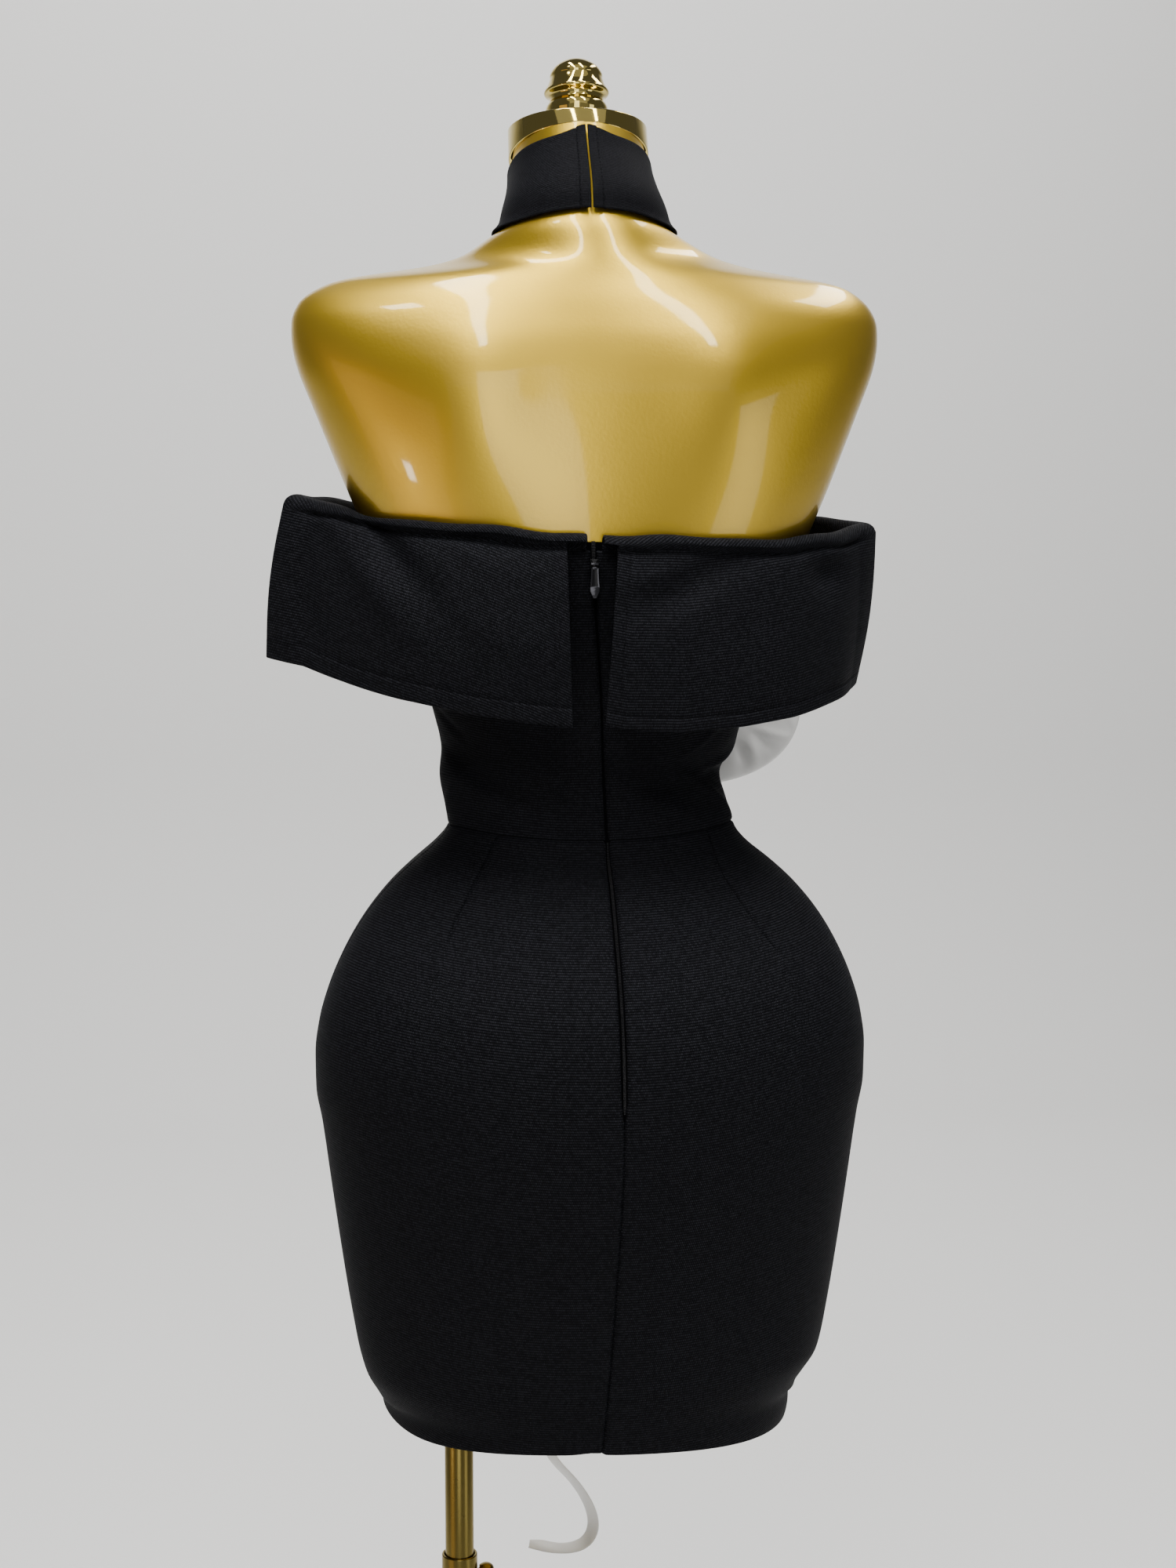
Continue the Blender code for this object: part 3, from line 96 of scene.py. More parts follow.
# drags of the cloth: turn in degrees, z, wide, tall, slope, rise
foldRows = (
    (-62, 1.068, 0.030, 0.0050, 0.45, 0.0030),
    (-70, 1.090, 0.026, 0.0045, -0.30, 0.0022),
    (68, 1.076, 0.026, 0.0045, -0.55, 0.0010),
    (50, 1.100, 0.030, 0.0060, -0.60, 0.0006),
    (4, 1.0365, 0.045, 0.0040, 0.00, 0.0014),
    (4, 1.0265, 0.050, 0.0045, 0.00, -0.0014),
    (50, 1.078, 0.045, 0.0060, 0.46, -0.0024),
    (38, 1.064, 0.040, 0.0060, 0.46, 0.0014),
    (14, 1.076, 0.016, 0.0045, 0.80, 0.0016),
    (70, 1.117, 0.022, 0.0040, 0.50, -0.0018),
    (-36, 1.073, 0.024, 0.0050, 0.00, -0.0022),
    (-14, 1.097, 0.022, 0.0080, 0.10, 0.0012),
    (-24, 1.056, 0.028, 0.0060, 0.00, 0.0014),
    (-66, 1.082, 0.022, 0.0045, 0.27, -0.0022),
    (-150, 1.070, 0.035, 0.0050, 0.30, 0.0022),
    (150, 1.082, 0.035, 0.0050, -0.30, 0.0020),
    (-78, 0.653, 0.040, 0.0045, 0.12, 0.0022),
    # smaller ones that only the finished cloth has
    (43, 1.074, 0.040, 0.0085, 0.68, -0.0028),
    (22, 1.088, 0.034, 0.0090, 0.60, 0.0018),
    (-36, 1.068, 0.026, 0.0075, 0.40, -0.0022),
    (-20, 1.092, 0.026, 0.0085, 0.10, 0.0014),
    (-30, 1.049, 0.022, 0.0050, 0.10, 0.0012),
    (12, 1.140, 0.012, 0.0400, 0.00, 0.0010),
    (-48, 1.106, 0.022, 0.0032, -0.70, 0.0011),
    (-36, 1.052, 0.018, 0.0026, 0.35, -0.0008),
    (40, 1.060, 0.020, 0.0028, -0.40, -0.0008),
    (28, 1.118, 0.024, 0.0040, -0.80, 0.0009),
    (-24, 1.020, 0.022, 0.0040, 0.10, -0.0009),
    (30, 1.022, 0.022, 0.0040, -0.12, -0.0008),
    (2, 1.020, 0.042, 0.0070, 0.00, -0.0020),
    (76, 0.655, 0.034, 0.0040, -0.10, 0.0012),
    (-128, 1.094, 0.030, 0.0042, 0.45, 0.0014),
    (128, 1.060, 0.028, 0.0040, -0.35, 0.0014),
    (178, 1.062, 0.040, 0.0048, 0.05, 0.0013),
    (170, 1.024, 0.040, 0.0050, 0.00, -0.0010),
    (-110, 0.656, 0.034, 0.0040, 0.10, 0.0011),
    (112, 0.653, 0.034, 0.0040, -0.10, 0.0010),
)
cloth = 0.0016  # thickness of the knit
formGap = 0.0020  # from the body's line to the inside of the cloth
ribPitch = 0.00175
edgeShare = 0.55  # how far an edge is rounded, as a share of the thickness


# a smooth curve through rising places that never overshoots its values
def curveThrough(places, values):
    places = np.array(places, float)
    values = np.array(values, float)
    steps = np.diff(places)
    rises = np.diff(values) / steps
    slopes = np.zeros(len(places))
    slopes[0] = rises[0]
    slopes[-1] = rises[-1]
    for i in range(1, len(places) - 1):
        before = rises[i - 1]
        after = rises[i]
        if before * after > 0:
            near = 2 * steps[i] + steps[i - 1]
            far = steps[i] + 2 * steps[i - 1]
            slopes[i] = (near + far) / (near / before + far / after)

    def value(at):
        at = np.asarray(at, float)
        i = np.clip(np.searchsorted(places, at) - 1, 0, len(steps) - 1)
        t = np.clip((at - places[i]) / steps[i], 0, 1)
        inside = (values[i] * (1 - t) ** 2 * (1 + 2 * t) + values[i + 1] * t * t * (3 - 2 * t)
                  + slopes[i] * steps[i] * t * (1 - t) ** 2 - slopes[i + 1] * steps[i] * t * t * (1 - t))
        below = slopes[0] * np.minimum(at - places[0], 0)
        above = slopes[-1] * np.maximum(at - places[-1], 0)
        return inside + below + above
    return value


def columnCurve(rows, column=1):
    return curveThrough([row[0] for row in rows], [row[column] for row in rows])


bodyCurves = {name: columnCurve(bodyRows, i) for i, name in enumerate(bodyNames)}


def smoothStep(low, high, at):
    t = np.clip((at - low) / (high - low), 0, 1)
    return t * t * (3 - 2 * t)


def unit(vectors):
    return vectors / np.maximum(np.linalg.norm(vectors, axis=-1, keepdims=True), 1e-12)


def bodyValue(name, z, softer=0.0):
    curve = bodyCurves[name]
    reach = 0.004 + softer
    total = curve(z - reach)
    for share in (-0.5, 0.0, 0.5):
        total = total + 2 * curve(z + reach * share)
    return (total + curve(z + reach)) / 8


# turn is 0 at the centre back and grows towards the wearer's left
def bodySurface(turn, z, softer=0.0):
    turn, z = np.broadcast_arrays(np.asarray(turn, float), np.asarray(z, float))
    sine = np.sin(turn)
    cosine = np.cos(turn)
    sideY = bodyValue("sideY", z, softer)
    full = bodyValue("full", z, softer)
    toBack = bodyValue("back", z, softer) - sideY
    toFront = bodyValue("front", z, softer) + sideY
    depth = np.where(cosine > 0, toBack, toFront) * (full + (1 - full) * cosine * cosine)
    x = bodyValue("mid", z, softer) + bodyValue("half", z, softer) * sine
    mounds = np.zeros_like(x)
    for moundX, moundZ, wide, tall, rise, side in reliefRows:
        mound = rise * np.exp(-((np.abs(x) - moundX) / wide) ** 2 - ((z - moundZ) / tall) ** 2)
        mounds += np.where(cosine * side > 0, mound, 0)
    y = sideY + (depth + mounds * np.abs(cosine)) * cosine
    lean = np.tan(np.radians(bodyValue("tilt", z, softer)))
    return np.stack([x, y, z + (y - sideY) * lean], -1)


def bodyNormal(turn, z, softer=0.0):
    small = 0.002
    aroundStep = bodySurface(turn + small, z, softer) - bodySurface(turn - small, z, softer)
    upStep = bodySurface(turn, z + small, softer) - bodySurface(turn, z - small, softer)
    return unit(np.cross(upStep, aroundStep))


def bodyPoint(turn, z, out):
    return bodySurface(turn, z) + bodyNormal(turn, z) * np.asarray(out)[..., None]


def turnAt(x, z):
    return np.arcsin(np.clip((x - bodyValue("mid", z)) / bodyValue("half", z), -1, 1))


def foldRise(turn, z):
    total = np.zeros(np.broadcast(turn, z).shape)
    for at, height, wide, tall, slope, rise in foldRows:
        gap = turn - math.radians(at)
        run = np.arctan2(np.sin(gap), np.cos(gap)) * bodyValue("half", height)
        total += rise * np.exp(-(run / wide) ** 2 - ((z - height - slope * run) / tall) ** 2)
    return total


# shares from 0 to 1, close together at both ends where an edge is rounded
def spread(count, width, fine=(0.0003, 0.0008, 0.0018, 0.0034)):
    even = np.linspace(0, 1, count + 1)
    ends = np.array(fine) / width
    inner = even[(even > ends[-1] * 1.3) & (even < 1 - ends[-1] * 1.3)]
    return np.concatenate([[0], ends, inner, 1 - ends[::-1], [1]])


def pathLength(points, axis):
    steps = np.linalg.norm(np.diff(points, axis=axis), axis=-1)
    return np.concatenate([np.zeros_like(np.take(steps, [0], axis)), np.cumsum(steps, axis)], axis)


def makeObject(name, verts, faces, material, uv=None, sharp=50):
    mesh = bpy.data.meshes.new(name)
    mesh.from_pydata(np.asarray(verts).tolist(), [], faces.tolist() if hasattr(faces, "tolist") else faces)
    mesh.shade_smooth()
    mesh.set_sharp_from_angle(angle=math.radians(sharp))
    if uv is not None:
        layer = mesh.uv_layers.new(name="clothMap")
        index = np.zeros(len(mesh.loops), int)
        mesh.loops.foreach_get("vertex_index", index)
        layer.data.foreach_set("uv", np.asarray(uv)[index].astype(np.float32).ravel())
    mesh.materials.append(material)
    thing = bpy.data.objects.new(name, mesh)
    bpy.context.scene.collection.objects.link(thing)
    return thing


def fixNormals(thing):
    edit = bmesh.new()
    edit.from_mesh(thing.data)
    bmesh.ops.recalc_face_normals(edit, faces=edit.faces[:])
    if edit.calc_volume(signed=True) < 0:
        bmesh.ops.reverse_faces(edit, faces=edit.faces[:])
    edit.to_mesh(thing.data)
    edit.free()
    return thing


# one closed wall from its outer and inner points, both in rows and columns
def wallObject(name, outer, inner, uv, material):
    rows, columns = outer.shape[:2]
    count = rows * columns
    ids = np.arange(count).reshape(rows, columns)
    quads = np.stack([ids[:-1, :-1], ids[:-1, 1:], ids[1:, 1:], ids[1:, :-1]], -1).reshape(-1, 4)
    border = list(ids[0]) + list(ids[1:, -1]) + list(ids[-1, -2::-1]) + list(ids[-2:0:-1, 0])
    pairs = zip(border, border[1:] + border[:1])
    rim = np.array([(there, here, here + count, there + count) for here, there in pairs])
    faces = np.concatenate([quads, quads[:, ::-1] + count, rim])
    row = rows // 2
    column = columns // 2
    middle = outer[row, column]
    facing = np.cross(outer[row, column + 1] - middle, outer[row + 1, column] - middle)
    if np.dot(facing, middle - inner[row, column]) < 0:
        faces = faces[:, ::-1]
    verts = np.concatenate([outer.reshape(-1, 3), inner.reshape(-1, 3)])
    return makeObject(name, verts, faces, material, np.concatenate([uv.reshape(-1, 2)] * 2))


# a closed skin over rings of points, with flat ends
def ringObject(name, grid, material):
    count, sides = grid.shape[:2]
    ids = np.arange(count * sides).reshape(count, sides)
    ahead = np.roll(ids, -1, 1)
    faces = np.stack([ids[:-1], ids[1:], ahead[1:], ahead[:-1]], -1).reshape(-1, 4).tolist()
    faces += [ids[0].tolist(), ids[-1][::-1].tolist()]
    return fixNormals(makeObject(name, grid.reshape(-1, 3), faces, material))


def roundedEdge(distance, radius):
    t = np.clip(distance / radius, 0, 1)
    return np.sqrt(1 - (1 - t) ** 2) * 0.94 + 0.06


def roundedEdges(distances, radius):
    shape = 1
    for distance in distances:
        shape = shape * roundedEdge(distance, radius)
    return shape


seamLook = {"depth": 0.0019, "wide": 0.0015}


# a panel of knit on the body, dipped along the sides that are sewn
def clothWall(name, turn, z, material, seams, lift=0, fromLow=True):
    points = bodyPoint(turn, z, formGap + foldRise(turn, z) + lift)
    left = pathLength(points, 1)
    low = pathLength(points, 0)
    edges = {"left": left, "right": left[:, -1:] - left, "low": low, "high": low[-1:] - low}
    dip = sum(seamLook["depth"] * np.exp(-(edges[side] / seamLook["wide"]) ** 2) for side in seams)
    shape = roundedEdges(edges.values(), cloth * edgeShare)
    normal = bodyNormal(turn, z)
    middle = points + normal * (cloth / 2 - dip)[..., None]
    half = normal * (cloth / 2 * shape)[..., None]
    uv = np.stack([turn * 0.13, low if fromLow else -edges["high"]], -1)
    return wallObject(name, middle + half, middle - half, uv, material)


def place(piece, body, slot, *nodes):
    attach(piece, body)
    if nodes:
        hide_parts(*nodes)
    return piece


def principled(name, **values):
    material = bpy.data.materials.new(name)
    material.use_nodes = True
    shader = material.node_tree.nodes["Principled BSDF"]
    for socket, value in values.items():
        shader.inputs[socket.replace("_", " ")].default_value = value
    return material, material.node_tree, shader


def addNode(tree, kind, **settings):
    node = tree.nodes.new(kind)
    for key, value in settings.items():
        setattr(node, key, value)
    return node


def maths(tree, operation, first, second=None, third=None):
    node = addNode(tree, "ShaderNodeMath", operation=operation)
    for socket, value in zip(node.inputs, (first, second, third)):
        if value is None:
            continue
        if isinstance(value, (int, float)):
            socket.default_value = value
        else:
            tree.links.new(value, socket)
    return node.outputs[0]


# a wave from 0 to 1, once for each whole number
def waveOf(tree, at):
    return maths(tree, "MULTIPLY_ADD", maths(tree, "SINE", maths(tree, "MULTIPLY", at, math.tau)), 0.5, 0.5)


def newGroup(name, inputs, outputs):
    group = bpy.data.node_groups.new(name, "ShaderNodeTree")
    for label, kind, value in inputs:
        socket = group.interface.new_socket(name=label, in_out="INPUT", socket_type=kind)
        if value is not None:
            socket.default_value = value
    for label, kind in outputs:
        group.interface.new_socket(name=label, in_out="OUTPUT", socket_type=kind)
    return group, addNode(group, "NodeGroupInput"), addNode(group, "NodeGroupOutput")


# rows of small stitches, each with its own height and tone, with random light flecks; the tone also carries
# painted shade of the ribs, lighter on the rib tops and darker in the valleys
def ribGroup():
    group, start, end = newGroup(
        "ribKnit",
        (("Place", "NodeSocketVector", None), ("Pitch", "NodeSocketFloat", ribPitch),
         ("Stitch", "NodeSocketFloat", 0.0011), ("Wander", "NodeSocketFloat", 0.00024)),
        (("Height", "NodeSocketFloat"), ("Tone", "NodeSocketFloat")))
    links = group.links
    split = addNode(group, "ShaderNodeSeparateXYZ")
    links.new(start.outputs["Place"], split.inputs[0])
    wave = addNode(group, "ShaderNodeTexNoise")
    speck = addNode(group, "ShaderNodeTexNoise")
    for noise, scale in ((wave, 90), (speck, 1900)):
        noise.inputs["Scale"].default_value = scale
        links.new(start.outputs["Place"], noise.inputs["Vector"])
    centred = maths(group, "SUBTRACT", wave.outputs["Fac"], 0.5)
    drift = maths(group, "MULTIPLY", centred, start.outputs["Wander"])
    course = maths(group, "DIVIDE", maths(group, "ADD", split.outputs[1], drift), start.outputs["Pitch"])
    rib = waveOf(group, course)
    along = maths(group, "DIVIDE", split.outputs[0], start.outputs["Stitch"])
    onRib = maths(group, "FLOOR", maths(group, "ADD", course, 0.25))
    along = maths(group, "MULTIPLY_ADD", onRib, 0.47, along)
    stitch = waveOf(group, along)
    cell = addNode(group, "ShaderNodeCombineXYZ")
    own = addNode(group, "ShaderNodeTexWhiteNoise", noise_dimensions="2D")
    links.new(onRib, cell.inputs[0])
    links.new(maths(group, "FLOOR", maths(group, "ADD", along, 0.25)), cell.inputs[1])
    links.new(cell.outputs[0], own.inputs["Vector"])
    ridge = maths(group, "POWER", rib, 0.6)
    height = maths(group, "MULTIPLY", ridge, maths(group, "MULTIPLY_ADD", stitch, 0.46, 0.54))
    height = maths(group, "MULTIPLY", height, maths(group, "MULTIPLY_ADD", own.outputs["Value"], 0.22, 0.78))
    fleck = addNode(group, "ShaderNodeMapRange")
    fleck.inputs["From Min"].default_value = 0.52
    fleck.inputs["From Max"].default_value = 0.74
    links.new(speck.outputs["Fac"], fleck.inputs["Value"])
    ownTone = maths(group, "MULTIPLY_ADD", own.outputs["Value"], 0.30, 0.28)
    mixed = maths(group, "MULTIPLY_ADD", fleck.outputs["Result"], 0.65, ownTone)
    # painted shade: the tone follows the rib height, lighter on the tops and darker between the ribs
    toneWithPaintedRibShade = maths(group, "MULTIPLY", maths(group, "MULTIPLY_ADD", height, 0.94, 0.06), mixed)
    links.new(height, end.inputs["Height"])
    links.new(toneWithPaintedRibShade, end.inputs["Tone"])
    return group


def grainGroup():
    group, start, end = newGroup(
        "fineGrain",
        (("Place", "NodeSocketVector", None), ("Scale", "NodeSocketFloat", 400.0),
         ("Broad", "NodeSocketFloat", 9.0)),
        (("Height", "NodeSocketFloat"), ("Patch", "NodeSocketFloat")))
    for label, source, detail in (("Height", "Scale", 3.0), ("Patch", "Broad", 2.0)):
        noise = addNode(group, "ShaderNodeTexNoise")
        noise.inputs["Detail"].default_value = detail
        group.links.new(start.outputs["Place"], noise.inputs["Vector"])
        group.links.new(start.outputs[source], noise.inputs["Scale"])
        group.links.new(noise.outputs["Fac"], end.inputs[label])
    return group


def mixColour(tree, factor, dark, light):
    node = addNode(tree, "ShaderNodeMix", data_type="RGBA")
    node.inputs["A"].default_value = (*dark, 1)
    node.inputs["B"].default_value = (*light, 1)
    tree.links.new(factor, node.inputs["Factor"])
    return node.outputs["Result"]


def addBump(tree, shader, height, depth, strength):
    bump = addNode(tree, "ShaderNodeBump")
    bump.inputs["Distance"].default_value = depth
    bump.inputs["Strength"].default_value = strength
    tree.links.new(height, bump.inputs["Height"])
    tree.links.new(bump.outputs[0], shader.inputs["Normal"])


knitTones = {"dark": (0.0008, 0.0008, 0.0010), "light": (0.0250, 0.0260, 0.0320)}


def knitMaterial(name, pitch, depth, lean=0.0, bright=1.0):
    material, tree, shader = principled(name, Roughness=0.6, Specular_IOR_Level=0.03, Sheen_Weight=0.006,
                                        Sheen_Roughness=0.5, Sheen_Tint=(0.80, 0.84, 1.0, 1))
    spot = addNode(tree, "ShaderNodeUVMap", uv_map="clothMap")
    turned = addNode(tree, "ShaderNodeMapping")
    turned.inputs["Rotation"].default_value = (0, 0, lean)
    tree.links.new(spot.outputs[0], turned.inputs["Vector"])
    knit = addNode(tree, "ShaderNodeGroup", node_tree=ribs)
    knit.inputs["Pitch"].default_value = pitch
    knit.inputs["Stitch"].default_value = pitch * 0.62
    tree.links.new(turned.outputs[0], knit.inputs["Place"])
    light = tuple(part * bright for part in knitTones["light"])
    # the base colour carries the painted rib shade from the group's Tone
    toneWithPaintedRibShade = mixColour(tree, knit.outputs["Tone"], knitTones["dark"], light)
    tree.links.new(toneWithPaintedRibShade, shader.inputs["Base Color"])
    addBump(tree, shader, knit.outputs["Height"], depth, 0.9)
    return material


# two colours, metallic, two roughnesses, depth and scale of the grain
def grainedMaterial(name, dark, light, metallic, roughLow, roughHigh, depth, grainScale, **more):
    material, tree, shader = principled(name, Metallic=metallic, **more)
    spot = addNode(tree, "ShaderNodeTexCoord")
    grain = addNode(tree, "ShaderNodeGroup", node_tree=grains)
    grain.inputs["Scale"].default_value = grainScale
    tree.links.new(spot.outputs["Object"], grain.inputs["Place"])
    tree.links.new(mixColour(tree, grain.outputs["Patch"], dark, light), shader.inputs["Base Color"])
    rough = maths(tree, "MULTIPLY_ADD", grain.outputs["Patch"], roughHigh - roughLow, roughLow)
    tree.links.new(rough, shader.inputs["Roughness"])
    addBump(tree, shader, grain.outputs["Height"], depth, 0.6)
    return material


ribs = ribGroup()
grains = grainGroup()
knitBlack = knitMaterial("ribKnitBlack", ribPitch, 0.00040)
knitBias = knitMaterial("ribKnitBias", ribPitch, 0.00045, math.radians(-34))
knitFine = knitMaterial("ribKnitFine", 0.00105, 0.00016, 0.0, 0.62)
threadBlack = grainedMaterial("threadBlack", (0.0015, 0.0015, 0.002), (0.006, 0.006, 0.007),
                              0.0, 0.50, 0.65, 0.00005, 3000, Specular_IOR_Level=0.04)
tapeBlack = grainedMaterial("tapeBlack", (0.0006, 0.0006, 0.0008), (0.0020, 0.0020, 0.0025),
                            0.0, 0.60, 0.80, 0.00010, 2500, Specular_IOR_Level=0.02)
coilBlack = grainedMaterial("coilBlack", (0.006, 0.006, 0.007), (0.016, 0.016, 0.018),
                            0.0, 0.30, 0.42, 0.00002, 2500, Specular_IOR_Level=0.15)
zipGrey = grainedMaterial("zipGrey", (0.038, 0.038, 0.044), (0.070, 0.070, 0.080),
                          0.9, 0.16, 0.26, 0.00003, 1500)
# black of the slider body, also used as painted shade in the pull's groove
zipBlackAndGrooveShade = grainedMaterial("zipBlackAndGrooveShade", (0.003, 0.003, 0.004), (0.008, 0.008, 0.009),
                           0.2, 0.24, 0.34, 0.00003, 1500, Specular_IOR_Level=0.2)
goldPaint = grainedMaterial("goldPaint", (0.68, 0.443, 0.030), (0.78, 0.525, 0.045),
                            0.94, 0.32, 0.40, 0.00014, 420, Coat_Weight=0.8, Coat_Roughness=0.06)
goldPolished = grainedMaterial("goldPolished", (0.66, 0.52, 0.15), (0.72, 0.57, 0.18),
                               1.0, 0.04, 0.08, 0.00002, 300)
goldStand = grainedMaterial("goldStand", (0.20, 0.150, 0.040), (0.25, 0.190, 0.055),
                            1.0, 0.24, 0.32, 0.00004, 500)
satinWhite = grainedMaterial("satinWhite", (0.80, 0.80, 0.79), (0.87, 0.87, 0.86),
                             0.0, 0.26, 0.36, 0.00006, 2200, Sheen_Weight=0.25, Sheen_Roughness=0.35)
print("materials made")

formLook = {"sides": 200, "rings": 330, "samples": 3000, "bottom": 0.655, "edge": 0.010, "neckTop": 1.4935,
            "slack": 0.0022, "slackTop": 1.215, "slackFade": 0.025, "bandMiddle": 1.460, "bandReach": 0.021,
            "softer": 0.012, "softFrom": (1.22, 1.26), "softTo": (1.355, 1.385)}


# the form lies a little under the cloth where the dress covers it
def formSkin(turn, z):
    share = np.clip((formLook["slackTop"] - z) / formLook["slackFade"], 0, 1)
    share = share + np.exp(-((z - formLook["bandMiddle"]) / formLook["bandReach"]) ** 4)
    softer = formLook["softer"] * smoothStep(*formLook["softFrom"], z)
    softer = softer * (1 - smoothStep(*formLook["softTo"], z))
    return bodySurface(turn, z, softer) - bodyNormal(turn, z, softer) * (formLook["slack"] * share)[..., None]


def makeForm():
    turns = np.linspace(0, math.tau, formLook["sides"], endpoint=False)
    edge = formLook["edge"]
    low = formLook["bottom"] + edge
    base = formSkin(turns, np.full_like(turns, low))
    baseY = base[:, 1] - bodyValue("sideY", formLook["bottom"])
    flat = np.stack([base[:, 0], baseY, np.zeros(len(turns))], -1)
    rings = []
    for angle in np.radians(np.linspace(0, 90, 10)):
        ring = base - unit(flat) * edge * (1 - math.sin(angle))
        ring[:, 2] = formLook["bottom"] + edge * (1 - math.cos(angle))
        rings.append(ring)
    samples = np.linspace(low + 0.003, formLook["neckTop"], formLook["samples"])
    half = bodyValue("half", samples)
    steps = np.hypot(np.diff(samples), np.diff(half)) + 0.8 * np.abs(np.diff(half))
    run = np.concatenate([[0], np.cumsum(steps)])
    for z in np.interp(np.linspace(0, run[-1], formLook["rings"]), run, samples):
        rings.append(formSkin(turns, np.full_like(turns, z)))
    place(ringObject("formTorso", np.array(rings), goldPaint), "form", "form_gold", "form_torso")


makeForm()
print("form made")

# where the centre back seam lies: z, x
seamRows = ((0.6357, 0.0015), (0.7400, -0.0045), (0.8500, -0.0085), (0.9900, -0.0072), (1.0400, -0.0062),
            (1.1200, -0.0014), (1.2400, 0.0074), (1.4500, 0.0037), (1.5100, 0.0005))
# how far the zip's edges stand apart: z, gap
gapeRows = ((0.864, -0.0007), (0.8705, 0.0012), (0.884, 0.0031), (0.930, 0.0036), (1.000, 0.0032),
            (1.045, 0.0013), (1.130, 0.0009), (1.205, 0.0012), (1.216, 0.0024), (1.260, 0.0032))
# the darts by side, 1 for the wearer's left: z, distance from the middle
dartRows = {
    1: ((0.64, 0.1150), (0.90, 0.1085), (0.9617, 0.1042), (0.9818, 0.0981), (1.0047, 0.0855),
        (1.0376, 0.0664), (1.06, 0.0540)),
    -1: ((0.64, 0.1280), (0.90, 0.1270), (0.9546, 0.1200), (0.9899, 0.0972), (1.0157, 0.0820),
         (1.0413, 0.0749), (1.06, 0.0700)),
}
dartEnds = {1: 0.9600, -1: 0.9560}
dressLook = {"hem": 0.6340, "hemSlope": 0.0050, "hemDip": 0.0030, "waist": 1.046, "waistBack": 0.009,
             "waistFront": 0.004, "waistLap": 0.0007, "sideLap": 0.0006, "underarm": 1.178, "armStart": 0.112,
             "zipBottom": 0.864, "seam": -0.0007, "backWide": 0.24}
seamX = columnCurve(seamRows)
gapeCurve = columnCurve(gapeRows)
dartCurves = {side: columnCurve(rows) for side, rows in dartRows.items()}


def zipGape(z):
    return np.where(z < dressLook["zipBottom"], dressLook["seam"], gapeCurve(z))


def backTurn(side):
    def turn(z):
        return turnAt(seamX(z) + side * zipGape(z) / 2, z)
    return turn


def sideTurn(side, around=0.0, lap=dressLook["sideLap"]):
    def turn(z):
        return side * (math.pi / 2 + lap / bodyValue("back", z)) + around
    return turn


def dartTurn(side):
    def turn(z):
        return turnAt(side * dartCurves[side](z), z)
    return turn


frontTurns = (sideTurn(1, 0, -dressLook["sideLap"]), sideTurn(-1, math.tau, -dressLook["sideLap"]))


def waistHeight(turn):
    cosine = np.cos(turn)
    drop = np.where(cosine > 0, dressLook["waistBack"], dressLook["waistFront"])
    return dressLook["waist"] - drop * cosine ** 2


def skirtTop(turn):
    return waistHeight(turn) + dressLook["waistLap"]


def bodiceLow(turn):
    return waistHeight(turn) - dressLook["waistLap"]


def hemHeight(turn):
    notch = 0.0016 * np.exp(-(np.sin(turn / 2) / 0.03) ** 2)
    slope = dressLook["hemSlope"] * np.sin(turn)
    return dressLook["hem"] + slope - dressLook["hemDip"] * np.sin(2 * turn) ** 2 + notch


def panelGrid(leftTurn, rightTurn, low, high, across, along, line=None):
    ends = (leftTurn(1.0), rightTurn(1.0))
    guess = ends[0] + (ends[1] - ends[0]) * across
    z = low(guess) + (high(guess) - low(guess)) * along[:, None]
    if line is None:
        return leftTurn(z) * (1 - across) + rightTurn(z) * across, z
    first = np.clip(across / 0.5, 0, 1)
    second = np.clip((across - 0.5) / 0.5, 0, 1)
    middle = line(z)
    turn = np.where(across <= 0.5, leftTurn(z) * (1 - first) + middle * first,
                    middle * (1 - second) + rightTurn(z) * second)
    return turn, z


# closer columns beside the dart in the panel's middle
def withDart(across, width):
    near = np.array([-0.0050, -0.0032, -0.0020, -0.0011, -0.0005, 0, 0.0005, 0.0011, 0.0020, 0.0032, 0.0050])
    kept = across[np.abs(across - 0.5) > 0.0060 / width]
    return np.sort(np.concatenate([kept, 0.5 + near / width]))


def skirtBack(name, node, side):
    width = dressLook["backWide"]
    across = withDart(spread(64, width), width)
    turn, z = panelGrid(backTurn(side), sideTurn(side), hemHeight, skirtTop, across, spread(150, 0.41),
                        dartTurn(side))
    offset = (across - 0.5)[None, :] * width
    dartEnd = dartEnds[side]
    groove = 0.0011 * smoothStep(dartEnd, dartEnd + 0.012, z)
    hollow = 0.0006 * smoothStep(dartEnd - 0.006, dartEnd + 0.02, z)
    lift = -groove * np.exp(-(offset / 0.0011) ** 2) - hollow * np.exp(-(offset / 0.006) ** 2)
    tip = np.exp(-((z - dartEnd) / 0.007) ** 2 - (offset / 0.007) ** 2)
    lift = lift + 0.0009 * tip
    overZip = z - dressLook["zipBottom"]
    pucker = np.exp(-((overZip - 0.002) / 0.008) ** 2) * np.exp(-(across[None, :] * width / 0.018) ** 2)
    lift = lift + 0.0004 * pucker * np.sin(overZip * 900 + offset * 60)
    piece = clothWall(name, turn, z, knitBlack, ("left", "right", "high"), lift, fromLow=False)
    place(piece, "form", "knit_black", node)


def skirtFront():
    turn, z = panelGrid(*frontTurns, hemHeight, skirtTop, spread(120, 0.48), spread(140, 0.41))
    piece = clothWall("skirtFront", turn, z, knitBlack, ("left", "right", "high"), fromLow=False)
    place(piece, "form", "knit_black", "skirt_front")


skirtBack("skirtBackLeft", "skirt_back_left", 1)
skirtBack("skirtBackRight", "skirt_back_right", -1)
skirtFront()
print("skirt made")

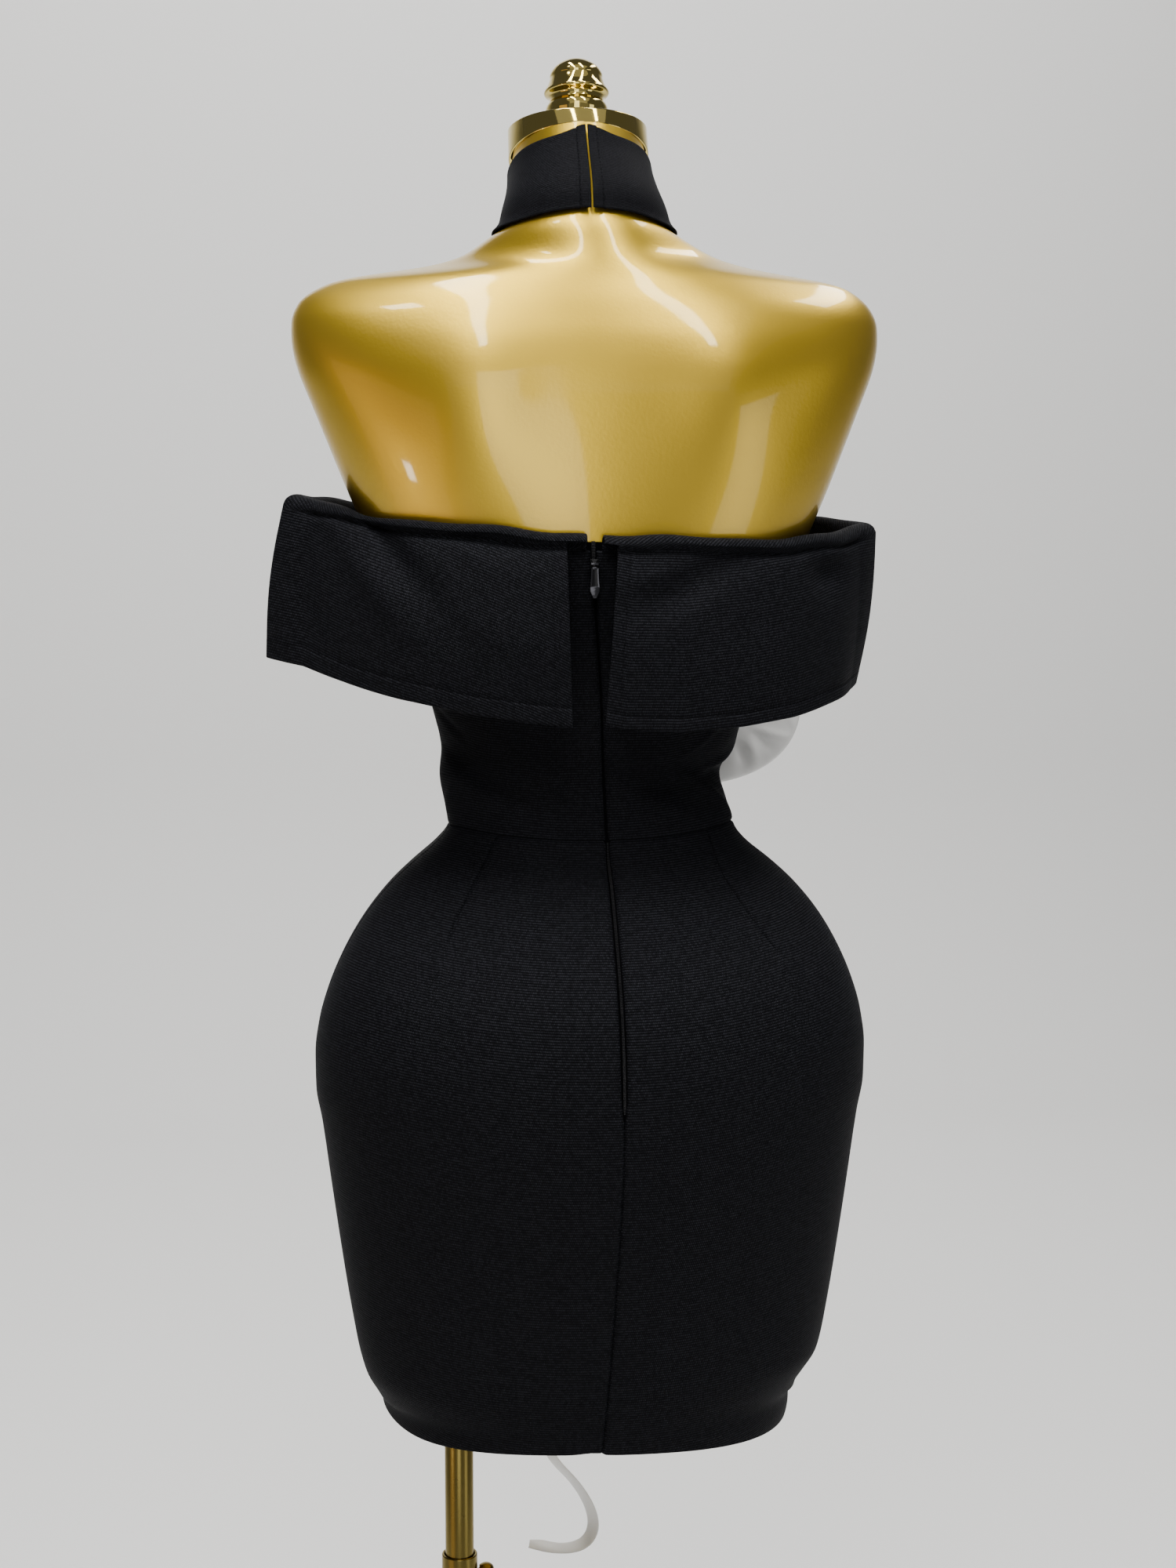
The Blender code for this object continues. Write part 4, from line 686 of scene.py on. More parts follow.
# x, y, out, top, leg, flare, low; y None lies on the form, out metres from it
cuffNames = ("x", "y", "out", "top", "leg", "flare", "low")
cuffBackLeft = (
    (0.012, None, 0.0034, 1.2400, 0.004, 0.0150, 1.1172),
    (0.045, None, 0.0034, 1.2425, 0.004, 0.0150, 1.1210),
    (0.085, None, 0.0034, 1.2465, 0.005, 0.0160, 1.1272),
    (0.118, None, 0.0050, 1.2500, 0.010, 0.0175, 1.1348),
    (0.152, 0.0400, 0.0, 1.2555, 0.024, 0.0200, 1.1450),
    (0.1865, 0.0040, 0.0, 1.2655, 0.028, 0.0225, 1.1580),
)
cuffBackRight = (
    (0.002, None, 0.0034, 1.2390, 0.004, 0.0150, 1.1200),
    (-0.010, None, 0.0034, 1.2388, 0.004, 0.0150, 1.1168),
    (-0.045, None, 0.0034, 1.2380, 0.004, 0.0150, 1.1144),
    (-0.085, None, 0.0034, 1.2368, 0.005, 0.0160, 1.1168),
    (-0.118, None, 0.0050, 1.2366, 0.010, 0.0165, 1.1212),
    (-0.152, 0.0390, 0.0, 1.2400, 0.024, 0.0140, 1.1290),
    (-0.1828, 0.0040, 0.0, 1.2467, 0.028, 0.0025, 1.1370),
)
cuffFront = (
    (0.1865, 0.0040, 0.0, 1.2655, 0.028, 0.0225, 1.1580),
    (0.160, -0.0380, 0.0, 1.2620, 0.026, 0.0170, 1.1530),
    (0.130, -0.0720, 0.0, 1.2590, 0.022, 0.0150, 1.1480),
    (0.094, None, 0.0110, 1.2570, 0.020, 0.0150, 1.1420),
    (0.045, None, 0.0078, 1.2560, 0.020, 0.0150, 1.1370),
    (0.000, None, 0.0072, 1.2555, 0.020, 0.0150, 1.1340),
    (-0.045, None, 0.0078, 1.2555, 0.020, 0.0150, 1.1320),
    (-0.094, None, 0.0110, 1.2550, 0.020, 0.0150, 1.1310),
    (-0.130, -0.0720, 0.0, 1.2540, 0.022, 0.0140, 1.1320),
    (-0.160, -0.0380, 0.0, 1.2510, 0.026, 0.0100, 1.1345),
    (-0.1828, 0.0040, 0.0, 1.2467, 0.028, 0.0025, 1.1370),
)
cuffLook = {"thick": 0.0020, "roll": 0.0055, "swell": 0.0012, "pinch": 0.0030, "lap": 0.0003,
            "mitreReach": 0.016, "flapLong": 0.118, "legRows": 6, "rollRows": 14, "biasFrom": 3, "biasTo": 23}
bodiceLook = {"armLine": 1.23, "split": 0.007, "backLap": 0.0010, "frontLap": 0.0006, "tabAt": 0.0071,
              "tabHigh": 0.0092, "backCut": (0.145, 0.19), "frontCut": (0.31, 0.19)}


def cuffRowsOf(table):
    return [dict(zip(cuffNames, row)) for row in table]


def cuffLegEnd(table, x):
    rows = sorted(cuffRowsOf(table), key=lambda row: row["x"])
    xs = [row["x"] for row in rows]
    ends = [row["top"] - cuffLook["roll"] - row["leg"] for row in rows]
    return curveThrough(xs, ends)(np.clip(x, xs[0], xs[-1]))


# up to the cuff, down under the arms, with a small tab behind the zip's slider
def bodiceTop(turn):
    x = bodySurface(turn, np.full(np.shape(turn), bodiceLook["armLine"]))[..., 0]
    atBack = np.cos(turn) > 0
    back = np.where(x > bodiceLook["split"], cuffLegEnd(cuffBackLeft, x), cuffLegEnd(cuffBackRight, x))
    seam = np.where(atBack, back + bodiceLook["backLap"], cuffLegEnd(cuffFront, x) - bodiceLook["frontLap"])
    past = np.maximum(0, np.abs(x) - dressLook["armStart"])
    reach = bodyValue("half", bodiceLook["armLine"]) - dressLook["armStart"]
    dip = np.sin(np.minimum(1, past / reach) * math.pi / 2) ** 1.5
    fromTab = np.abs(x - bodiceLook["tabAt"])
    tab = bodiceLook["tabHigh"] * (1 - smoothStep(0.0036, 0.0056, fromTab)) * atBack
    return seam + (dressLook["underarm"] - seam) * dip + tab


def bodicePiece(name, node, leftTurn, rightTurn, columns, width, cut):
    turn, z = panelGrid(leftTurn, rightTurn, bodiceLow, bodiceTop, spread(columns, width), spread(84, 0.17))
    piece = clothWall(name, turn, z, knitBlack, ("left", "right", "low"))
    place(piece, "form", "knit_black", node)


for name, node, side in (("bodiceBackLeft", "bodice_back_left", 1),
                         ("bodiceBackRight", "bodice_back_right", -1)):
    bodicePiece(name, node, backTurn(side), sideTurn(side), 50, 0.13, bodiceLook["backCut"])
bodicePiece("bodiceFront", "bodice_front", *frontTurns, 100, 0.29, bodiceLook["frontCut"])
print("bodice made")

# soft buckles of the flap: piece, share along, height above the bottom edge, wide, tall, lean, rise
buckleRows = (
    ("left", 0.350, 0.112, 0.085, 0.0150, -0.04, -0.0052),
    ("left", 0.560, 0.090, 0.032, 0.0150, 0.70, -0.0064),
    ("left", 0.690, 0.110, 0.012, 0.0080, 0.60, -0.0034),
    ("left", 0.640, 0.070, 0.034, 0.0120, 0.72, 0.0022),
    ("left", 0.330, 0.104, 0.030, 0.0070, 0.25, 0.0014),
    ("left", 0.300, 0.060, 0.050, 0.0160, 0.30, 0.0012),
    ("left", 0.840, 0.102, 0.014, 0.0080, 0.10, 0.0018),
    ("left", 0.900, 0.030, 0.012, 0.0260, 0.00, -0.0012),
    ("left", 0.930, 0.018, 0.006, 0.0160, 0.00, 0.0010),
    ("left", 0.200, 0.050, 0.040, 0.0300, -0.20, 0.0014),
    ("right", 0.740, 0.088, 0.016, 0.0130, -0.20, -0.0056),
    ("right", 0.770, 0.100, 0.016, 0.0080, 0.10, 0.0022),
    ("right", 0.600, 0.074, 0.016, 0.0260, 0.00, 0.0016),
    ("right", 0.200, 0.090, 0.032, 0.0120, 0.42, -0.0046),
    ("right", 0.120, 0.100, 0.024, 0.0060, 0.25, 0.0016),
    ("right", 0.300, 0.108, 0.060, 0.0100, 0.05, -0.0030),
    ("right", 0.450, 0.035, 0.040, 0.0250, 0.00, 0.0012),
    ("front", 0.200, 0.085, 0.018, 0.0120, 0.10, -0.0026),
    ("front", 0.240, 0.100, 0.020, 0.0080, 0.00, 0.0018),
    ("front", 0.500, 0.108, 0.110, 0.0110, 0.00, -0.0030),
    ("front", 0.800, 0.085, 0.018, 0.0120, -0.10, -0.0026),
    ("front", 0.360, 0.050, 0.030, 0.0400, 0.00, 0.0012),
    ("front", 0.660, 0.055, 0.030, 0.0400, 0.00, 0.0014),
)


# how far back or forward the cuff lies where it rests on the form
def yOnForm(row, front):
    choices = []
    for height in (row["top"] - cuffLook["roll"] - row["leg"], row["top"] - cuffLook["roll"]):
        turn = turnAt(row["x"], height)
        turn = math.pi - turn if front else turn
        choices.append(float(bodyPoint(turn, height, row["out"])[..., 1]))
    return max(choices, key=abs)


# the cuff's way seen from above, and its heights along that way
def routeOf(table, front):
    rows = cuffRowsOf(table)
    finer = [rows[0]]
    for here, there in zip(rows, rows[1:]):
        if here["y"] is None and there["y"] is None:
            for share in (0.25, 0.5, 0.75):
                between = {key: here[key] + (there[key] - here[key]) * share for key in here if key != "y"}
                finer.append({**between, "y": None})
        finer.append(there)
    points = np.array([(row["x"], yOnForm(row, front) if row["y"] is None else row["y"]) for row in finer])
    lengths = pathLength(points, 0)
    curves = {}
    for key in ("top", "leg", "flare", "low"):
        curves[key] = curveThrough(lengths, [row[key] for row in finer])
    curves["x"] = curveThrough(lengths, points[:, 0])
    curves["y"] = curveThrough(lengths, points[:, 1])
    return lengths[-1], curves


def outOf(route, length, side):
    total, curves = route
    ahead = np.minimum(length + 0.001, total)
    behind = np.maximum(length - 0.001, 0)
    way = unit(np.stack([curves[key](ahead) - curves[key](behind) for key in "xy"], -1))
    return np.stack([way[..., 1], -way[..., 0]], -1) * side


# the way between the back's and the front's, and its stretch, where they meet at the arm
def mitreOf(backTable, backSide, atStart):
    back = routeOf(backTable, False)
    front = routeOf(cuffFront, True)
    backOut = outOf(back, back[0], backSide)
    frontOut = outOf(front, 0.0 if atStart else front[0], -1)
    middle = unit(backOut + frontOut)
    return middle, 1 / max(0.4, float(np.dot(middle, backOut)))


def cuffStation(route, look, length):
    total, curves = route
    way = outOf(route, length, look["side"])
    stretch = np.ones_like(length)
    for mitre, distance in zip(look["mitres"], (length, total - length)):
        if mitre is not None:
            share = np.maximum(0, 1 - distance / cuffLook["mitreReach"])
            way = unit(way * (1 - share)[:, None] + mitre[0] * share[:, None])
            stretch = stretch + (mitre[1] - stretch) * share
    return way * stretch[:, None], {label: curve(length) for label, curve in curves.items()}


# rows up the leg, over the roll and down the flap: values, way out, out, height, normal's two parts
def cuffGrid(key, look, route, spots, nearMitre):
    total = route[0]
    roll = cuffLook["roll"]
    swell = cuffLook["swell"]
    out, here = cuffStation(route, look, spots)
    wave = 0.0007 * np.sin(spots * 61 + len(key)) + 0.0005 * np.sin(spots * 113 + 2 * len(key))
    wave = wave * np.minimum(1, np.minimum(spots, total - spots) / 0.02)
    base = here["top"] - roll + wave
    rows = []
    for t in np.linspace(0, 1, cuffLook["legRows"] + 1)[:-1]:
        rows.append((here, out, np.zeros_like(spots), base - here["leg"] * (1 - t), -1.0, 0.0))
    for angle in np.linspace(0, math.pi, cuffLook["rollRows"] + 1)[:-1]:
        across = np.full_like(spots, (roll + swell / 2) * (1 - math.cos(angle)))
        rows.append((here, out, across, base + roll * math.sin(angle), -math.cos(angle), math.sin(angle)))
    bends = np.array([0, 0.010, 0.018, 0.025, 0.032, 0.040, 0.050, 0.062, 0.080])
    line = look["hem"]
    hemRows = 1 - np.array([line + 0.0050, line + 0.0022, line + 0.0010, line, line - 0.0010, line - 0.0022,
                            0.0050, 0.0022, 0.0010, 0.0004, 0]) / cuffLook["flapLong"]
    retreat = look["retreat"]
    start = 2 * roll + swell
    for t in np.concatenate([bends, np.linspace(0.105, 0.82, 30), hemRows]):
        back = (retreat[0] + (retreat[1] - retreat[0]) * t) * (1 - spots / total)
        flapOut, there = cuffStation(route, look, spots + back)
        top = there["top"] - roll + wave * (1 - t)
        across = start + (there["flare"] - start) * t + 0.0025 * math.sin(math.pi * t)
        across = across - cuffLook["pinch"] * nearMitre * math.exp(-((t - 0.032) / 0.020) ** 2)
        rows.append((there, flapOut, across, top - (top - there["low"]) * t, 1.0, 0.0))
    grid = []
    normals = []
    for values, way, across, z, outPart, upPart in rows:
        xy = np.stack([values["x"], values["y"]], -1) + way * across[:, None]
        grid.append(np.concatenate([xy, z[:, None]], -1))
        normals.append(np.concatenate([unit(way) * outPart, np.full((len(spots), 1), upPart)], -1))
    return np.array(grid), np.array(normals)


# a sewn line inside an edge and the step of the folded hem beside it
def hemPush(distance, line, width, share):
    groove = share * 0.0005 * np.exp(-((distance - line) / width) ** 2)
    return groove, share * 0.0004 * (1 - smoothStep(line - 0.002, line, distance))


def cuffPiece(key, look):
    route = routeOf(look["table"], key == "front")
    total = route[0]
    startMitre, endMitre = look["mitres"]
    first = 0.0 if startMitre is None else -cuffLook["lap"]
    last = total if endMitre is None else total + cuffLook["lap"]
    spots = first + (last - first) * spread(look["columns"], total)
    toMitre = np.minimum(9 if startMitre is None else spots, 9 if endMitre is None else total - spots)
    nearMitre = smoothStep(0.004, 0.022, toMitre)
    grid, normals = cuffGrid(key, look, route, spots, nearMitre)
    height = pathLength(grid[::-1], 0)[::-1]
    run = pathLength(grid, 1)
    push = np.zeros(grid.shape[:2])
    for owner, share, above, wide, tall, lean, rise in buckleRows:
        if owner == key:
            sideways = (spots / total - share) * total
            push += rise * np.exp(-(sideways / wide) ** 2 - ((height - above - lean * sideways) / tall) ** 2)
    flapFrom = cuffLook["legRows"] + cuffLook["rollRows"]
    isFlap = (np.arange(len(grid)) >= flapFrom)[:, None]
    groove, step = hemPush(height, look["hem"], 0.0009, isFlap * nearMitre)
    push -= groove
    push += step
    if startMitre is None:
        groove, step = hemPush(run, look["edge"], 0.0010, isFlap)
        push -= groove
        push += step
    push += isFlap * 0.0005 * np.sin(run * 31 + height * 9) * smoothStep(0.0, 0.05, height)
    grid = grid + normals * push[..., None]
    shape = roundedEdges((height, height[:1] - height, run, run[:, -1:] - run), cuffLook["thick"] * edgeShare)
    half = normals * (cuffLook["thick"] / 2 * shape)[..., None]
    lean, reach = look["lean"]
    upCloth = height - lean * reach * (1 - np.exp(-spots / reach))
    uv = np.stack([np.broadcast_to(spots, height.shape), upCloth], -1)
    outer = grid + half
    piece = wallObject(look["name"], outer, grid - half, uv, knitBlack)
    piece.data.materials.append(knitBias)
    faceRows = np.arange(len(grid) - 1)
    onRoll = (faceRows >= cuffLook["biasFrom"]) & (faceRows < cuffLook["biasTo"])
    rollFaces = np.repeat(onRoll, len(spots) - 1)
    quads = len(rollFaces)
    bias = np.zeros(len(piece.data.polygons), int)
    bias[:quads] = rollFaces
    bias[quads:2 * quads] = rollFaces
    piece.data.polygons.foreach_set("material_index", bias)
    place(piece, "form", "knit_black", look["node"])
    return {"outer": outer[flapFrom:], "normals": normals[flapFrom:], "height": height[flapFrom:],
            "run": run[flapFrom:], "hem": look["hem"], "edge": look["edge"]}


leftMitre = mitreOf(cuffBackLeft, -1, True)
rightMitre = mitreOf(cuffBackRight, 1, False)
# hem and edge are the stitch lines' distances, lean is the rib's rise and its reach
cuffLooks = {
    "left": {"name": "cuffBackLeft", "node": "cuff_back_left", "table": cuffBackLeft, "side": -1,
             "columns": 110, "mitres": (None, leftMitre), "retreat": (0.0125, 0.0095), "cut": (0.22, 0.15),
             "hem": 0.0125, "edge": 0.0100, "lean": (0.42, 0.10)},
    "right": {"name": "cuffBackRight", "node": "cuff_back_right", "table": cuffBackRight, "side": 1,
              "columns": 110, "mitres": (None, rightMitre), "retreat": (0.0085, 0.0005), "cut": (0.22, 0.15),
              "hem": 0.0090, "edge": 0.0080, "lean": (0.06, 0.10)},
    "front": {"name": "cuffFront", "node": "cuff_front", "table": cuffFront, "side": -1,
              "columns": 200, "mitres": (leftMitre, rightMitre), "retreat": (0.0, 0.0), "cut": (0.46, 0.165),
              "hem": 0.0115, "edge": None, "lean": (0.0, 0.10)},
}
cuffs = [cuffPiece(key, look) for key, look in cuffLooks.items()]
print("cuff made")

threadLook = {"length": 0.0024, "pitch": 0.0034, "radius": 0.00022, "sides": 6}
# one stitch: along, swell, lift
stitchRings = ((-0.5, 0.35, -0.9), (-0.36, 1.0, 0.1), (0.36, 1.0, 0.1), (0.5, 0.35, -0.9))


def pointAlong(at, run, points):
    return np.array([np.interp(at, run, points[:, i]) for i in range(3)])


def stitchMesh(name, lines):
    pitch = threadLook["pitch"]
    radius = threadLook["radius"]
    sides = threadLook["sides"]
    verts = []
    faces = []
    for points, normals in lines:
        run = pathLength(points, 0)
        for centre in np.arange(pitch, run[-1] - pitch / 2, pitch):
            spot = pointAlong(centre, run, points)
            normal = unit(pointAlong(centre, run, normals))
            way = unit(pointAlong(centre + 0.001, run, points) - spot)
            across = unit(np.cross(way, normal))
            start = len(verts)
            for along, swell, lift in stitchRings:
                middle = spot + way * along * threadLook["length"] + normal * radius * lift
                for side in range(sides):
                    angle = math.tau * side / sides
                    ring = across * math.cos(angle) + normal * math.sin(angle)
                    verts.append(middle + radius * swell * ring)
            for low in range(start, start + 3 * sides, sides):
                for side in range(sides):
                    beside = (side + 1) % sides
                    faces.append((low + side, low + beside, low + sides + beside, low + sides + side))
            faces.append(tuple(range(start + sides - 1, start - 1, -1)))
            faces.append(tuple(range(start + 3 * sides, start + 4 * sides)))
    place(fixNormals(makeObject(name, verts, faces, threadBlack)), "form", "knit_black")


def flapLine(cuff):
    lines = []
    for values in (cuff["outer"], cuff["normals"]):
        lines.append(np.array([pointAlong(cuff["hem"], cuff["height"][::-1, column], values[::-1, column])
                               for column in range(values.shape[1])]))
    return lines


def flapEdgeLine(cuff):
    rows = np.nonzero(cuff["height"][:, 0] > cuff["hem"])[0]
    return [np.array([pointAlong(cuff["edge"], cuff["run"][row], values[row]) for row in rows])
            for values in (cuff["outer"], cuff["normals"])]


cuffLines = [flapLine(cuff) for cuff in cuffs]
cuffLines += [flapEdgeLine(cuff) for cuff in cuffs[:2]]
stitchMesh("cuffStitches", cuffLines)
print("stitches made")

bandLook = {"top": 1.4850, "back": 1.4435, "side": 1.4385, "seam": 1.4375, "gape": 0.0011,
            "gapeAt": (0.0010, 1.46), "bibTop": 0.0555, "bibLow": 0.080, "hem": 0.0075, "girth": 0.34,
            "stitch": 0.0066,
            "ends": (0.0003, 0.0008, 0.0018, 0.0034, 0.0055, 0.0066, 0.0072, 0.0080, 0.0090)}


def bandLow(turn):
    cosine = np.cos(turn)
    behind = bandLook["side"] + (bandLook["back"] - bandLook["side"]) * cosine ** 2
    before = bandLook["side"] + (bandLook["seam"] - bandLook["side"]) * np.minimum(1, -cosine * 2)
    return np.where(cosine > 0, behind, before)


def makeBand():
    across = spread(190, bandLook["girth"], bandLook["ends"])
    along = spread(34, 0.045)
    x, height = bandLook["gapeAt"]
    ends = [float(turnAt(x + side * bandLook["gape"] / 2, height)) for side in (1, -1)]
    turn = np.broadcast_to(ends[0] + (math.tau + ends[1] - ends[0]) * across, (len(along), len(across)))
    top = bandLook["top"] + 0.0046 * np.exp(-(np.sin(turn / 2) / 0.13) ** 2)
    low = bandLow(turn)
    z = low + (top - low) * along[:, None]
    nearEnd = np.minimum(across, 1 - across) * bandLook["girth"]
    lift = -0.0016 * np.exp(-((z - low) / 0.005) ** 2)
    lift = lift + 0.0008 * (1 - smoothStep(bandLook["hem"] - 0.0012, bandLook["hem"], nearEnd))
    lift = lift - 0.0005 * np.exp(-((nearEnd - bandLook["hem"]) / 0.0007) ** 2)
    lift = lift + 0.0004 * np.sin(turn * 7 + z * 60) * 0.6
    points = bodyPoint(turn, z, formGap + lift)
    left = pathLength(points, 1)
    rise = pathLength(points, 0)
    shape = roundedEdges((left, left[:, -1:] - left, rise, rise[-1:] - rise), cloth * edgeShare)
    normal = bodyNormal(turn, z)
    middle = points + normal * cloth / 2
    half = normal * (cloth / 2 * shape)[..., None]
    piece = wallObject("neckBand", middle + half, middle - half, np.stack([left, rise], -1), knitFine)
    place(piece, "form", "knit_black", "neck_band")
    lines = []
    for share in (across, 1 - across):
        column = int(np.argmin(np.abs(share * bandLook["girth"] - bandLook["stitch"])))
        lines.append(((middle + half)[:, column], normal[:, column]))
    stitchMesh("bandStitches", lines)


def makeBib():
    across = spread(70, 0.13)[None, :]
    share = spread(100, 0.20)[:, None]
    x = (bandLook["bibTop"] + (bandLook["bibLow"] - bandLook["bibTop"]) * share) * (2 * across - 1)
    topZ = bandLow(math.pi - turnAt(x, bandLook["seam"])) + 0.0004
    lowZ = cuffLegEnd(cuffFront, x) + 0.0003
    z = topZ + (lowZ - topZ) * share
    turn = math.pi - turnAt(x, z)
    piece = clothWall("halterFront", turn, z, knitBlack, ("low",), 0.0004 * np.sin(x * 60) * share)
    place(piece, "form", "knit_black", "halter_front")


makeBand()
makeBib()
print("neck made")

# the coil is hidden between closed, and wider above the slider
zipLook = {"bottom": 0.8710, "top": 1.2365, "closed": (1.036, 1.206), "aboveSlider": 1.2258,
           "openWide": 0.0024, "coilPitch": 0.00095, "coilWide": 0.0017, "coilRadius": 0.00036,
           "coilOut": 0.0007, "sliderZ": 1.2200, "tapeWide": 0.0220, "tapeUnder": 0.0003, "tapeThick": 0.0005}


def makeTape():
    heights = np.linspace(zipLook["bottom"] - 0.012, float(bodiceTop(np.array(0.02))) - 0.002, 200)
    across = np.linspace(-zipLook["tapeWide"] / 2, zipLook["tapeWide"] / 2, 17)
    turns = turnAt(seamX(heights)[:, None] + across[None, :], heights[:, None])
    z = np.broadcast_to(heights[:, None], turns.shape)
    under = formGap + foldRise(turns, z) - zipLook["tapeUnder"]
    outer = bodyPoint(turns, z, under)
    inner = bodyPoint(turns, z, under - zipLook["tapeThick"])
    uv = np.stack([np.broadcast_to(across, z.shape), z], -1)
    piece = wallObject("zipTape", outer, inner, uv, tapeBlack)
    place(piece, "form", "tape_black", "zip_tape")


def makeCoil():
    tooth = addPrimitive("cylinder", "coilTooth", coilBlack, vertices=8, radius=zipLook["coilRadius"],
                         depth=1.0)
    bpy.ops.object.mode_set(mode="EDIT")
    bpy.ops.mesh.select_all(action="SELECT")
    bpy.ops.mesh.bevel(offset=0.00016, segments=2)
    bpy.ops.object.mode_set(mode="OBJECT")
    shape = np.array([v.co[:] for v in tooth.data.vertices])
    polygons = [tuple(p.vertices) for p in tooth.data.polygons]
    bpy.data.objects.remove(tooth, do_unlink=True)
    verts = []
    faces = []
    for z in np.arange(zipLook["bottom"] + 0.001, zipLook["top"], zipLook["coilPitch"]):
        if zipLook["closed"][0] < z < zipLook["closed"][1]:
            continue
        turn = turnAt(seamX(z), z)
        spot = bodyPoint(turn, z, formGap + foldRise(turn, z) + zipLook["coilOut"])
        wide = min(zipLook["coilWide"], float(zipGape(z)) - 0.0005)
        if z > zipLook["aboveSlider"]:
            wide = zipLook["openWide"]
        normal = bodyNormal(turn, z)
        across = unit(np.array([1.0, 0, 0]) - normal * normal[0])
        up = np.cross(normal, across)
        start = len(verts)
        verts += list(spot + shape[:, :1] * up + shape[:, 1:2] * normal * 1.1 + shape[:, 2:] * across * wide)
        faces += [tuple(start + i for i in polygon) for polygon in polygons]
    place(fixNormals(makeObject("zipCoil", verts, faces, coilBlack)), "form", "tape_black")


def makeActive(thing):
    bpy.ops.object.select_all(action="DESELECT")
    thing.select_set(True)
    bpy.context.view_layer.objects.active = thing


def addPrimitive(kind, name, material, **settings):
    bpy.ops.object.select_all(action="DESELECT")
    getattr(bpy.ops.mesh, "primitive_" + kind + "_add")(**settings)
    thing = bpy.context.object
    thing.name = name
    thing.data.name = name
    thing.data.materials.append(material)
    return thing


def addBox(name, material, size):
    box = addPrimitive("cube", name, material, size=1)
    box.scale = size
    bpy.ops.object.transform_apply(scale=True)
    return box


def settle(thing, matrix=None, smooth=35):
    makeActive(thing)
    if matrix is not None:
        thing.matrix_world = matrix @ thing.matrix_world
    bpy.ops.object.transform_apply(location=True, rotation=True, scale=True)
    bpy.ops.object.shade_smooth_by_angle(angle=math.radians(smooth))


def bevelAll(thing, width, segments=3):
    makeActive(thing)
    bevel = thing.modifiers.new("bevel", "BEVEL")
    bevel.width = width
    bevel.segments = segments
    bevel.limit_method = "ANGLE"
    bevel.angle_limit = math.radians(30)
    bpy.ops.object.modifier_apply(modifier="bevel")


# leaves the thing in edit mode with only the wanted faces or corners selected
def selectWhere(thing, test, kind="FACE"):
    bpy.ops.object.mode_set(mode="EDIT")
    bpy.context.tool_settings.mesh_select_mode = (kind == "VERT", False, kind == "FACE")
    bpy.ops.mesh.select_all(action="DESELECT")
    bpy.ops.object.mode_set(mode="OBJECT")
    for item in thing.data.polygons if kind == "FACE" else thing.data.vertices:
        item.select = test(item)
    bpy.ops.object.mode_set(mode="EDIT")


def extrude(*move):
    bpy.ops.mesh.extrude_region_move(TRANSFORM_OT_translate={"value": move})


def resize(scale, *centre):
    bpy.ops.transform.resize(value=scale, center_override=centre)


def finishZipPart(thing, bevel, segments, spot, body, *nodes):
    bpy.ops.object.mode_set(mode="OBJECT")
    bevelAll(thing, bevel, segments)
    thing.location = spot
    settle(thing)
    place(thing, body, "zip_grey", *nodes)


sliderLook = {"size": (0.0056, 0.0018, 0.0095), "low": (0.62, 0.8, 1), "rim": 0.0008, "raised": 0.0006,
              "plate": (0.55, 1, 0.6), "out": 0.0017, "bevel": 0.00030}
bridgeLook = {"size": (0.0050, 0.0014, 0.0015), "foot": 0.0016, "bevel": 0.00028,
              "abovePivot": (0, -0.0004, 0.0027)}
# steps: each one's drop and how much wider it gets
pullLook = {"size": (0.0046, 0.0013, 0.0020), "rim": 0.00085, "groove": (1, 0.45, 1), "grooveLow": -0.0122,
            "steps": ((0.0060, 1.12), (0.0045, 1.17), (0.0022, 1.02), (0.0022, 0.66), (0.0022, 0.50)),
            "underPivot": (0, 0, -0.0010), "pivotOut": 0.0042, "pivotDrop": 0.0010, "bevel": 0.00020}
eyeLook = {"radius": 0.00075, "wide": 0.0030, "rim": 0.00030, "boss": (1.14, 1, 1), "bevel": 0.00010}


def makeSlider():
    zSlider = zipLook["sliderZ"]
    x = float(seamX(zSlider))
    y = float(bodyPoint(turnAt(x, zSlider), zSlider, formGap + cloth)[..., 1])
    body = addBox("zipSlider", zipBlackAndGrooveShade, sliderLook["size"])
    selectWhere(body, lambda v: v.co.z < 0, "VERT")
    resize(sliderLook["low"], 0, 0, 0)
    bpy.ops.object.mode_set(mode="OBJECT")
    selectWhere(body, lambda f: f.normal.y > 0.5)
    bpy.ops.mesh.inset(thickness=sliderLook["rim"])
    extrude(0, sliderLook["raised"], 0)
    resize(sliderLook["plate"], 0, 0.0015, 0)
    finishZipPart(body, sliderLook["bevel"], 3, (x, y + sliderLook["out"], zSlider), "form", "zip_slider")
    bridge = addBox("zipBridge", zipGrey, bridgeLook["size"])
    selectWhere(bridge, lambda f: f.normal.y < -0.9)
    extrude(0, -bridgeLook["foot"], 0)
    resize((0.8, 1, 0.8), 0, 0, 0)
    pivot = Vector((x, y + pullLook["pivotOut"], zSlider - pullLook["pivotDrop"]))
    finishZipPart(bridge, bridgeLook["bevel"], 3, pivot + Vector(bridgeLook["abovePivot"]), "form")
    makePull(pivot)


